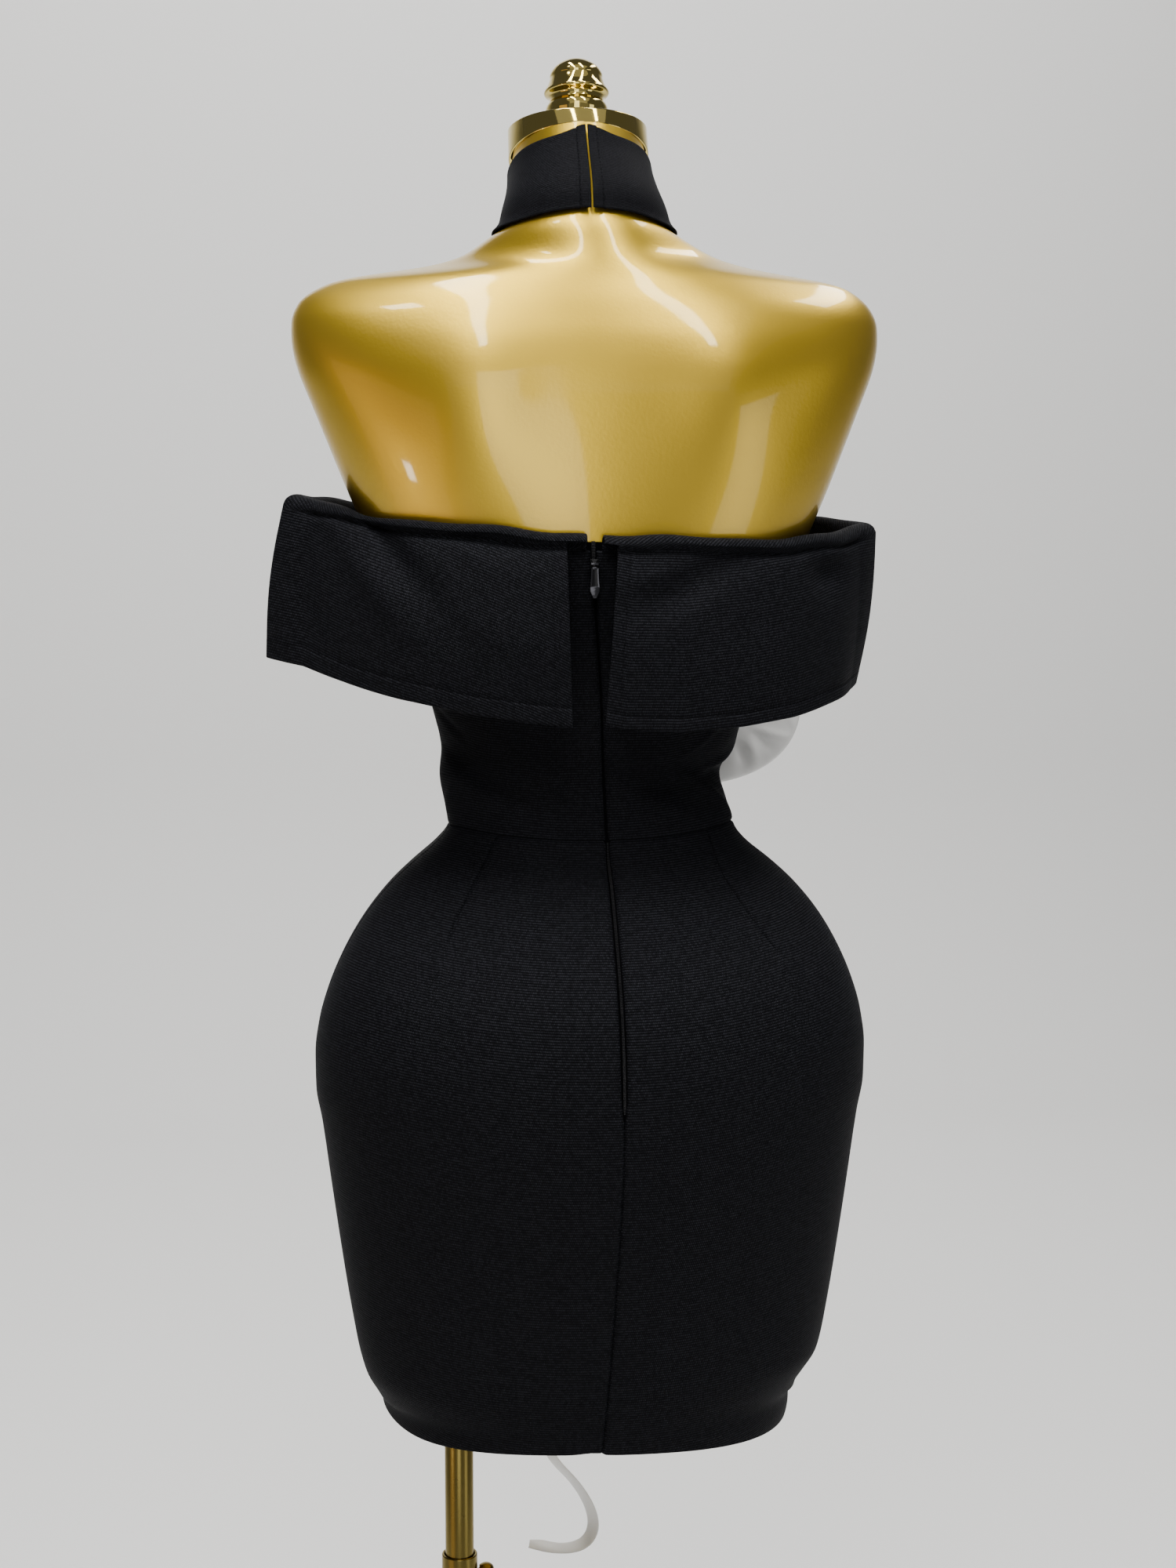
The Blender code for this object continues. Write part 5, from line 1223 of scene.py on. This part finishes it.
def makePull(pivot):
    blade = addBox("zipPull", zipGrey, pullLook["size"])
    for drop, grow in pullLook["steps"]:
        selectWhere(blade, lambda f: f.normal.z < -0.9)
        extrude(0, 0, -drop)
        resize((grow, 1, 1), 0, 0, min(v.co.z for v in blade.data.vertices) - drop)
        bpy.ops.object.mode_set(mode="OBJECT")
    selectWhere(blade, lambda f: abs(f.normal.y) > 0.9 and pullLook["grooveLow"] < f.center.z)
    bpy.ops.mesh.inset(thickness=pullLook["rim"])
    resize(pullLook["groove"], 0, 0, 0)
    # painted shade: the inset groove faces of the pull get the black material so the groove reads dark
    blade.data.materials.append(zipBlackAndGrooveShade)
    blade.active_material_index = 1
    bpy.ops.object.material_slot_assign()
    finishZipPart(blade, pullLook["bevel"], 2, pivot + Vector(pullLook["underPivot"]), "zip_pull", "zip_pull")
    eye = addPrimitive("cylinder", "zipPullEye", zipGrey, vertices=28, radius=eyeLook["radius"],
                       depth=eyeLook["wide"], rotation=(0, math.pi / 2, 0))
    bpy.ops.object.transform_apply(rotation=True)
    selectWhere(eye, lambda f: abs(f.normal.x) > 0.9)
    bpy.ops.mesh.inset(thickness=eyeLook["rim"])
    resize(eyeLook["boss"], 0, 0, 0)
    finishZipPart(eye, eyeLook["bevel"], 2, pivot, "zip_pull")


makeTape()
makeCoil()
makeSlider()
print("zip made")

satinThick = 0.0012
# folds: how far out, off the middle, long, wide, lean, rise
loopLook = {
    "bowLoopRight": {
        "node": "bow_loop_right", "root": (-0.0150, -0.1446, 1.1826), "way": (-0.78, 0.06, -0.50),
        "length": 0.183, "rootHalf": 0.014, "tipHalf": 0.054, "belly": 0.012, "droop": 0.0, "seed": 0.4,
        "folds": (
            (0.167, -0.0015, 0.015, 0.0030, 0.30, 0.0020), (0.163, -0.0205, 0.011, 0.0042, -0.56, 0.0022),
            (0.152, -0.0370, 0.012, 0.0075, -0.20, 0.0022), (0.179, 0.0130, 0.008, 0.0030, -0.35, 0.0014),
            (0.159, -0.0285, 0.010, 0.0040, -0.50, -0.0016), (0.168, -0.0110, 0.010, 0.0045, -0.10, -0.0014),
            (0.150, 0.0270, 0.022, 0.0060, 0.20, 0.0020)),
    },
    "bowLoopLeft": {
        "node": "bow_loop_left", "root": (0.0122, -0.1446, 1.1895), "way": (0.95, 0.05, 0.20),
        "length": 0.1425, "rootHalf": 0.014, "tipHalf": 0.036, "belly": 0.011, "droop": 0.012, "seed": 1.9,
        "folds": (
            (0.120, 0.0060, 0.018, 0.0040, 0.20, 0.0018), (0.126, -0.0120, 0.012, 0.0045, -0.30, 0.0018),
            (0.112, 0.0210, 0.016, 0.0050, 0.10, -0.0014)),
    },
}


# one loop of satin from the knot out and back, gathered at the knot
def makeLoop(name, look):
    along = unit(np.array(look["way"]))
    forward = np.array([0.0, -1.0, 0.0])
    forward = unit(forward - along * np.dot(forward, along))
    across = unit(np.cross(along, forward))
    angle = np.radians(np.linspace(8, 352, 145))[:, None]
    v = np.linspace(-1, 1, 61)[None, :]
    reach = (1 - np.cos(angle)) / 2
    half = look["rootHalf"] + (look["tipHalf"] - look["rootHalf"]) * reach ** 0.75
    out = look["length"] * reach * (1 - 0.16 * v * v * reach)
    side = np.where(angle < math.pi, 1.0, -1.0)
    fade = np.abs(np.sin(angle)) ** 0.5
    seed = look["seed"]
    depth = look["belly"] * np.sin(angle) * (0.45 + 0.55 * reach) * (1 - 0.35 * v * v)
    depth = depth + 0.0016 * side * (1 - reach) + 0.0022 * np.cos(v * math.pi * 2.5) * (1 - reach)
    fan = np.exp(-((reach - 0.30) / 0.30) ** 2)
    depth = depth + 0.0030 * fan * np.sin(v * 10 + seed + reach * 2.2) * fade
    depth = depth + 0.0015 * np.sin(v * 4.3 + seed * 3 + angle * 1.3) * reach * np.abs(np.sin(angle))
    for at, off, long, wide, lean, rise in look["folds"]:
        ridge = np.exp(-((out - at) / long) ** 2 - ((half * v - off - lean * (out - at)) / wide) ** 2)
        depth = depth + rise * side * ridge * fade
    sag = np.broadcast_to(-look["droop"] * reach * reach, out.shape)
    points = (np.array(look["root"]) + along * out[..., None] + across * (half * v)[..., None]
              + forward * depth[..., None] + np.array([0, 0, 1.0]) * sag[..., None])
    normal = unit(np.cross(np.gradient(points, axis=0), np.gradient(points, axis=1)))
    run = pathLength(points, 0)
    rise = pathLength(points, 1)
    shape = roundedEdge(rise, satinThick / 2) * roundedEdge(rise[:, -1:] - rise, satinThick / 2)
    part = normal * (satinThick / 2 * shape)[..., None]
    piece = wallObject(name, points + part, points - part, np.stack([rise, run], -1), satinWhite)
    place(piece, "form", "satin_white", look["node"])


for name, look in loopLook.items():
    makeLoop(name, look)

knotLook = {"centre": (0.0, -0.1440, 1.187), "half": (0.0125, 0.0105, 0.0185), "rings": 40, "sides": 64,
            "square": 0.75}


def squared(value):
    return np.sign(value) * np.abs(value) ** knotLook["square"]


def makeKnot():
    halfX, halfY, halfZ = knotLook["half"]
    angle = np.radians(np.linspace(-86, 86, knotLook["rings"]))[:, None]
    turn = np.linspace(0, math.tau, knotLook["sides"], endpoint=False)[None, :]
    wide = np.cos(angle) ** 0.6
    crease = 1 - 0.055 * np.exp(-((np.sin(turn + 0.9) - 0.25 * np.sin(angle * 2)) / 0.16) ** 2)
    crease = crease - 0.04 * np.exp(-((np.sin(turn - 0.5) + 0.3 * np.sin(angle * 1.5)) / 0.14) ** 2)
    x = squared(np.cos(turn)) * halfX * wide * crease
    y = squared(np.sin(turn)) * halfY * wide * crease
    z = np.broadcast_to(halfZ * np.sin(angle), x.shape)
    grid = np.array(knotLook["centre"]) + np.stack([x, y, z], -1)
    piece = ringObject("bowKnot", grid, satinWhite)
    place(piece, "form", "satin_white", "bow_knot")


makeKnot()

# the free ribbon: x, y, z, twist in degrees
ribbonRows = (
    (0.000, -0.1470, 1.1670, 0), (0.004, -0.1480, 1.1200, 6), (0.009, -0.1400, 1.0500, 14),
    (0.014, -0.1310, 0.9600, 10), (0.017, -0.1300, 0.8700, -4), (0.019, -0.1290, 0.7700, -12),
    (0.021, -0.1270, 0.6700, -4), (0.024, -0.1245, 0.6150, 14), (0.021, -0.1225, 0.5720, 34),
    (0.0132, -0.1210, 0.5425, 48), (-0.0043, -0.1200, 0.5225, 50), (-0.0178, -0.1195, 0.4990, 46),
    (-0.0205, -0.1190, 0.4875, 44), (-0.0182, -0.1190, 0.4775, 50), (-0.0095, -0.1195, 0.4705, 62),
    (0.0040, -0.1200, 0.4692, 68), (0.0160, -0.1200, 0.4715, 64), (0.0290, -0.1205, 0.4760, 58),
)
# across: where the ribbon's columns lie and how full the edge is there
ribbonLook = {"width": 0.011, "thick": 0.0008, "steps": 260, "smoothings": 14, "slant": 0.010, "cup": 0.0007,
              "across": (-1, -0.96, -0.85, -0.5, 0, 0.5, 0.85, 0.96, 1)}


def makeRibbon():
    rows = np.array(ribbonRows)
    lengths = pathLength(rows[:, :3], 0)
    curves = [curveThrough(lengths, rows[:, i]) for i in range(4)]
    run = lengths[-1] * np.linspace(0, 1, ribbonLook["steps"])
    middle = np.stack([curve(run) for curve in curves[:3]], -1)
    for smoothing in range(ribbonLook["smoothings"]):
        middle[1:-1] = (middle[:-2] + 2 * middle[1:-1] + middle[2:]) / 4
    way = unit(np.gradient(middle, axis=0))
    flat = unit(np.cross(np.array([0.0, -1.0, 0.0]), way))
    twist = np.radians(curves[3](run))[:, None]
    flat = flat * np.cos(twist) + np.cross(way, flat) * np.sin(twist)
    face = unit(np.cross(way, flat))
    v = np.array(ribbonLook["across"])[None, :]
    tip = np.clip((run[-1] - run) / ribbonLook["slant"], 0, 1)[:, None]
    edge = v * ribbonLook["width"] / 2 * np.where(v > 0, 0.35 + 0.65 * tip, 1)
    cup = ribbonLook["cup"] * v ** 2 * np.ones_like(tip)
    points = middle[:, None] + flat[:, None] * edge[..., None] + face[:, None] * cup[..., None]
    shape = np.where(np.abs(v) > 0.99, 0.15, np.where(np.abs(v) > 0.95, 0.75, 1.0))
    part = face[:, None] * (ribbonLook["thick"] / 2 * shape)[..., None]
    uv = np.stack([np.broadcast_to(edge, cup.shape), np.broadcast_to(run[:, None], cup.shape)], -1)
    piece = wallObject("bowRibbon", points + part, points - part, uv, satinWhite)
    place(piece, "form", "satin_white", "bow_ribbon")


makeRibbon()
print("bow made")


# a turned thing from its radius and height rows, solid or as a tube's closed ring
def turnedPiece(name, profile, material, sides=96, hollow=False):
    radius, height = profile[0]
    thing = addPrimitive("circle", name, material, vertices=sides, radius=radius, location=(0, 0, 0),
                         fill_type="NOTHING" if hollow else "NGON")
    bpy.ops.object.mode_set(mode="EDIT")
    bpy.ops.mesh.select_all(action="SELECT")
    bpy.ops.transform.translate(value=(0, 0, height))
    for nextRadius, nextHeight in profile[1:]:
        if hollow:
            bpy.ops.mesh.extrude_edges_move(TRANSFORM_OT_translate={"value": (0, 0, nextHeight - height)})
        else:
            extrude(0, 0, nextHeight - height)
        ratio = nextRadius / radius
        resize((ratio, ratio, 1), 0, 0, nextHeight)
        radius = nextRadius
        height = nextHeight
    bpy.ops.mesh.select_all(action="SELECT")
    if hollow:
        bpy.ops.mesh.remove_doubles(threshold=0.00001)
        bpy.ops.mesh.select_all(action="SELECT")
    bpy.ops.mesh.normals_make_consistent(inside=False)
    bpy.ops.object.mode_set(mode="OBJECT")
    return thing


def smoothProfile(rows, count):
    rows = np.array(rows, float)
    run = pathLength(rows, 0)
    spots = np.unique(np.concatenate([run, np.linspace(0, run[-1], count)]))
    return list(zip(*(curveThrough(run, rows[:, i])(spots).tolist() for i in (0, 1))))


capLook = {"radius": 0.0478, "height": 0.0222, "blank": 0.060, "blankMiddle": 0.0303, "edge": 0.0011,
           "tilt": math.radians(21.5), "wedge": math.radians(12)}
neckSpot = (0, float(bodyValue("sideY", formLook["neckTop"])), formLook["neckTop"])
neckFrame = Matrix.Translation(neckSpot) @ Matrix.Rotation(capLook["tilt"], 4, "X")
capTop = neckFrame @ Matrix.Translation((0, 0, capLook["height"]))
capTop = capTop @ Matrix.Rotation(-capLook["wedge"], 4, "X")


def makeCap():
    cap = addPrimitive("cylinder", "neckCap", goldPolished, vertices=128, radius=capLook["radius"],
                       depth=capLook["blank"], location=(0, 0, capLook["blankMiddle"]))
    bpy.ops.object.transform_apply(location=True)
    bpy.ops.object.mode_set(mode="EDIT")
    bpy.ops.mesh.select_all(action="SELECT")
    slope = (0, math.sin(capLook["wedge"]), math.cos(capLook["wedge"]))
    bpy.ops.mesh.bisect(plane_co=(0, 0, capLook["height"]), plane_no=slope, use_fill=True, clear_outer=True)
    bpy.ops.object.mode_set(mode="OBJECT")
    bevelAll(cap, capLook["edge"], 5)
    settle(cap, neckFrame)
    place(cap, "form", "polished_gold", "neck_cap")


finialRows = (
    (0.0236, 0.0003), (0.0240, 0.0008), (0.0240, 0.0022), (0.0230, 0.0030), (0.0208, 0.0038),
    (0.0201, 0.0050), (0.0200, 0.0064), (0.0203, 0.0080), (0.0208, 0.0100), (0.0213, 0.0122),
    (0.0214, 0.0138), (0.0210, 0.0158), (0.0203, 0.0172), (0.0195, 0.0184), (0.0189, 0.0196),
    (0.0187, 0.0208), (0.0188, 0.0220), (0.0194, 0.0232), (0.0206, 0.0242), (0.0218, 0.0250),
    (0.0222, 0.0256), (0.0223, 0.0262), (0.0221, 0.0269), (0.0214, 0.0280), (0.0205, 0.0296),
    (0.0196, 0.0314), (0.0188, 0.0334), (0.0182, 0.0352), (0.0179, 0.0366), (0.0181, 0.0371),
    (0.0181, 0.0380), (0.0177, 0.0394), (0.0168, 0.0412), (0.0153, 0.0432), (0.0134, 0.0449),
    (0.0110, 0.0466), (0.0084, 0.0479), (0.0052, 0.0488), (0.0022, 0.0492), (0.0005, 0.0493),
)


def makeFinial():
    finial = turnedPiece("finial", smoothProfile(finialRows, 60), goldPolished)
    settle(finial, capTop, 50)
    place(finial, "form", "polished_gold", "finial")


makeCap()
makeFinial()
standLook = {"x": 0.0902, "rod": 0.0100, "tube": 0.0125, "bore": 0.0108, "tubeTop": 0.525,
             "tubeBottom": 0.0185, "rodBottom": 0.140, "rodTop": 0.6547, "knobZ": 0.5105, "knobGap": 0.0006,
             "base": 0.180}
knobRows = ((0.0026, 0.0), (0.0026, 0.0006), (0.0046, 0.0009), (0.0052, 0.0018), (0.0058, 0.0032),
            (0.0062, 0.0054), (0.0060, 0.0070), (0.0055, 0.0084), (0.0046, 0.0098), (0.0032, 0.0108),
            (0.0016, 0.0112), (0.0004, 0.0113))
flangeRows = ((0.0336, 0.0063), (0.0340, 0.0068), (0.0340, 0.0106), (0.0334, 0.0116), (0.0310, 0.0135),
              (0.0240, 0.0160), (0.0190, 0.0174), (0.0180, 0.0180))


def standPiece(name, profile, sides, matrix, body, node, hollow=False):
    piece = turnedPiece(name, profile, goldStand, sides, hollow)
    settle(piece, matrix)
    place(piece, body, "stand_gold", node)


def makeStand():
    across = Matrix.Translation((standLook["x"], 0, 0))
    r = standLook["rod"]
    low = standLook["rodBottom"]
    top = standLook["rodTop"]
    rodRows = ((r - 0.001, low), (r - 0.0003, low + 0.0003), (r, low + 0.001), (r, top - 0.0006),
               (r - 0.0004, top))
    standPiece("upperRod", rodRows, 64, across, "form", "upper_rod")
    r = standLook["tube"]
    b = standLook["bore"]
    low = standLook["tubeBottom"]
    top = standLook["tubeTop"]
    tubeRows = ((r, low), (r, top - 0.0008), (r - 0.0002, top - 0.0003), (r - 0.0006, top), (b + 0.0003, top),
                (b, top - 0.0003), (b, low), (r, low))
    standPiece("lowerTube", tubeRows, 64, across, "stand", "lower_tube", hollow=True)
    knobX = standLook["x"] - standLook["tube"] - standLook["knobGap"]
    sideways = Matrix.Translation((knobX, 0, standLook["knobZ"])) @ Matrix.Rotation(-math.pi / 2, 4, "Y")
    standPiece("clampKnob", smoothProfile(knobRows, 24), 64, sideways, "knob", "clamp_knob")
    r = standLook["base"]
    baseRows = ((r - 0.0015, 0.0), (r - 0.0004, 0.0004), (r, 0.0015), (r, 0.0045), (r - 0.0004, 0.0056),
                (r - 0.0015, 0.0060))
    standPiece("basePlate", baseRows, 160, None, "stand", "base_plate")
    standPiece("baseFlange", flangeRows, 96, across, "stand", "base_flange")


makeStand()
print("stand made")

floorLook = {"size": 20, "y": 1.2, "drop": -0.0005, "edgeMove": 5.6, "cove": 0.7, "step": 7.5, "wall": 4.2}
floorMaterial = principled("paleFloor", Base_Color=(0.76, 0.76, 0.755, 1), Roughness=0.85,
                           Specular_IOR_Level=0.2)[0]


def selectFrontEdge(thing):
    low = min(v.co.y for v in thing.data.vertices)
    selectWhere(thing, lambda v: v.co.y < low + 0.0001, "VERT")


# a floor that bends up into a wall on the side away from the camera
def makeFloor():
    floor = addPrimitive("plane", "floor", floorMaterial, size=floorLook["size"])
    floor.location = (0, floorLook["y"], floorLook["drop"])
    selectWhere(floor, lambda v: v.co.y < 0, "VERT")
    bpy.ops.transform.translate(value=(0, floorLook["edgeMove"], 0))
    bpy.ops.object.mode_set(mode="OBJECT")
    for step in range(2, 13):
        angle = math.radians(floorLook["step"] * step)
        was = math.radians(floorLook["step"] * (step - 1))
        selectFrontEdge(floor)
        extrude(0, -floorLook["cove"] * (math.sin(angle) - math.sin(was)),
                floorLook["cove"] * (math.cos(was) - math.cos(angle)))
        bpy.ops.object.mode_set(mode="OBJECT")
    selectFrontEdge(floor)
    extrude(0, 0, floorLook["wall"])
    bpy.ops.object.mode_set(mode="OBJECT")
    settle(floor, smooth=60)


makeFloor()
world = bpy.data.worlds.new("studio")
bpy.context.scene.world = world
world.use_nodes = True
background = world.node_tree.nodes["Background"]
background.inputs["Color"].default_value = (0.80, 0.81, 0.83, 1)
background.inputs["Strength"].default_value = 0.12

lightRows = (
    # name, wide, long, turn, power, place, aimed at, colour, seen in reflections, lights the cloth
    ("tubeLeft", 0.12, 1.9, 0, 18, (0.32, 0.45, 2.9), (0.32, 0.45, 0.0), (1.0, 0.97, 0.92), True, False),
    ("tubeRight", 0.12, 1.6, 23, 14, (-0.46, 0.58, 2.9), (-0.46, 0.58, 0.0), (1.0, 0.97, 0.92), True, False),
    ("tubeFar", 0.25, 1.6, 0, 16, (-1.15, -1.0, 2.9), (-1.15, -1.0, 0.0), (1.0, 0.97, 0.92), True, False),
    ("lampShoulder", 0.16, 0.16, 0, 2.0, (0.70, 0.35, 2.9), (0.70, 0.35, 0.0), (1.0, 0.97, 0.92), True, False),
    ("lampLow", 0.12, 0.12, 0, 1.0, (1.76, 1.13, 0.83), (0.0, 0.0, 1.28), (1.0, 0.94, 0.84), True, False),
    ("warmSide", 1.4, 1.8, 0, 5, (2.1, 1.3, 0.9), (0.0, 0.0, 1.25), (1.0, 0.62, 0.25), True, False),
    ("ceilingFill", 1.4, 0.7, 0, 92, (0.1, 0.48, 2.95), (0.0, 0.10, 1.0), (1.0, 0.985, 0.96), False, True),
    ("backFill", 1.2, 0.8, 0, 42, (0.5, 2.1, 2.9), (0.0, 0.0, 1.1), (1.0, 0.985, 0.96), False, True),
    ("panelLeft", 0.85, 2.4, 0, 17, (0.29, 2.6, 1.85), (0.29, 0.0, 1.85), (1.0, 0.99, 0.96), True, False),
    ("panelRight", 1.0, 1.8, 0, 9, (-2.4, 2.0, 1.1), (0.0, 0.0, 1.2), (1.0, 0.99, 0.96), True, False),
    ("roomBack", 5.0, 3.2, 0, 6, (0.0, 3.4, 1.5), (0.0, 0.0, 1.5), (1.0, 0.98, 0.94), True, False),
    ("roomTop", 3.0, 2.6, 0, 8, (0.0, 1.4, 3.2), (0.0, 0.0, 1.2), (1.0, 0.98, 0.94), True, False),
    ("bowFill", 0.6, 0.6, 0, 4, (-1.3, 1.0, 0.75), (-0.14, -0.10, 1.09), (1.0, 0.99, 0.97), False, True),
    ("wallWash", 3.6, 0.8, 0, 170, (0.0, -1.6, 4.2), (0.0, -3.6, 0.4), (1.0, 0.99, 0.97), False, True),
)
for label, wide, long, turn, power, spot, aim, colour, seen, onCloth in lightRows:
    data = bpy.data.lights.new(label, "AREA")
    data.shape = "RECTANGLE"
    data.size = wide
    data.size_y = long
    data.energy = power
    data.color = colour
    lamp = bpy.data.objects.new(label, data)
    lamp.location = spot
    facing = (Vector(aim) - Vector(spot)).to_track_quat("-Z", "Y")
    lamp.rotation_euler = (facing @ Quaternion((0, 0, 1), math.radians(turn))).to_euler()
    lamp.visible_glossy = seen
    lamp.visible_diffuse = onCloth
    bpy.context.scene.collection.objects.link(lamp)

# shift: how far the camera stands to its right, as a share of its distance
cameraLook = {"lens": 54, "sensor": 36, "away": 1.6, "height": 1.25, "shift": 2 / 3000,
              "yaw": math.radians(7), "pitch": math.radians(6.43)}
camera = bpy.data.objects.new("camera", bpy.data.cameras.new("camera"))
camera.data.lens = cameraLook["lens"]
camera.data.sensor_width = cameraLook["sensor"]
yaw = cameraLook["yaw"]
pitch = cameraLook["pitch"]
away = cameraLook["away"]
rightWay = Vector((-math.cos(yaw), math.sin(yaw), 0))
camera.location = (Vector((away * math.sin(yaw), away * math.cos(yaw), cameraLook["height"]))
                   + rightWay * (cameraLook["shift"] * away))
viewWay = Vector((-math.sin(yaw) * math.cos(pitch), -math.cos(yaw) * math.cos(pitch), -math.sin(pitch)))
camera.rotation_euler = viewWay.to_track_quat("-Z", "Y").to_euler()
bpy.context.scene.collection.objects.link(camera)
bpy.context.scene.camera = camera
print("floor, lights and camera made")
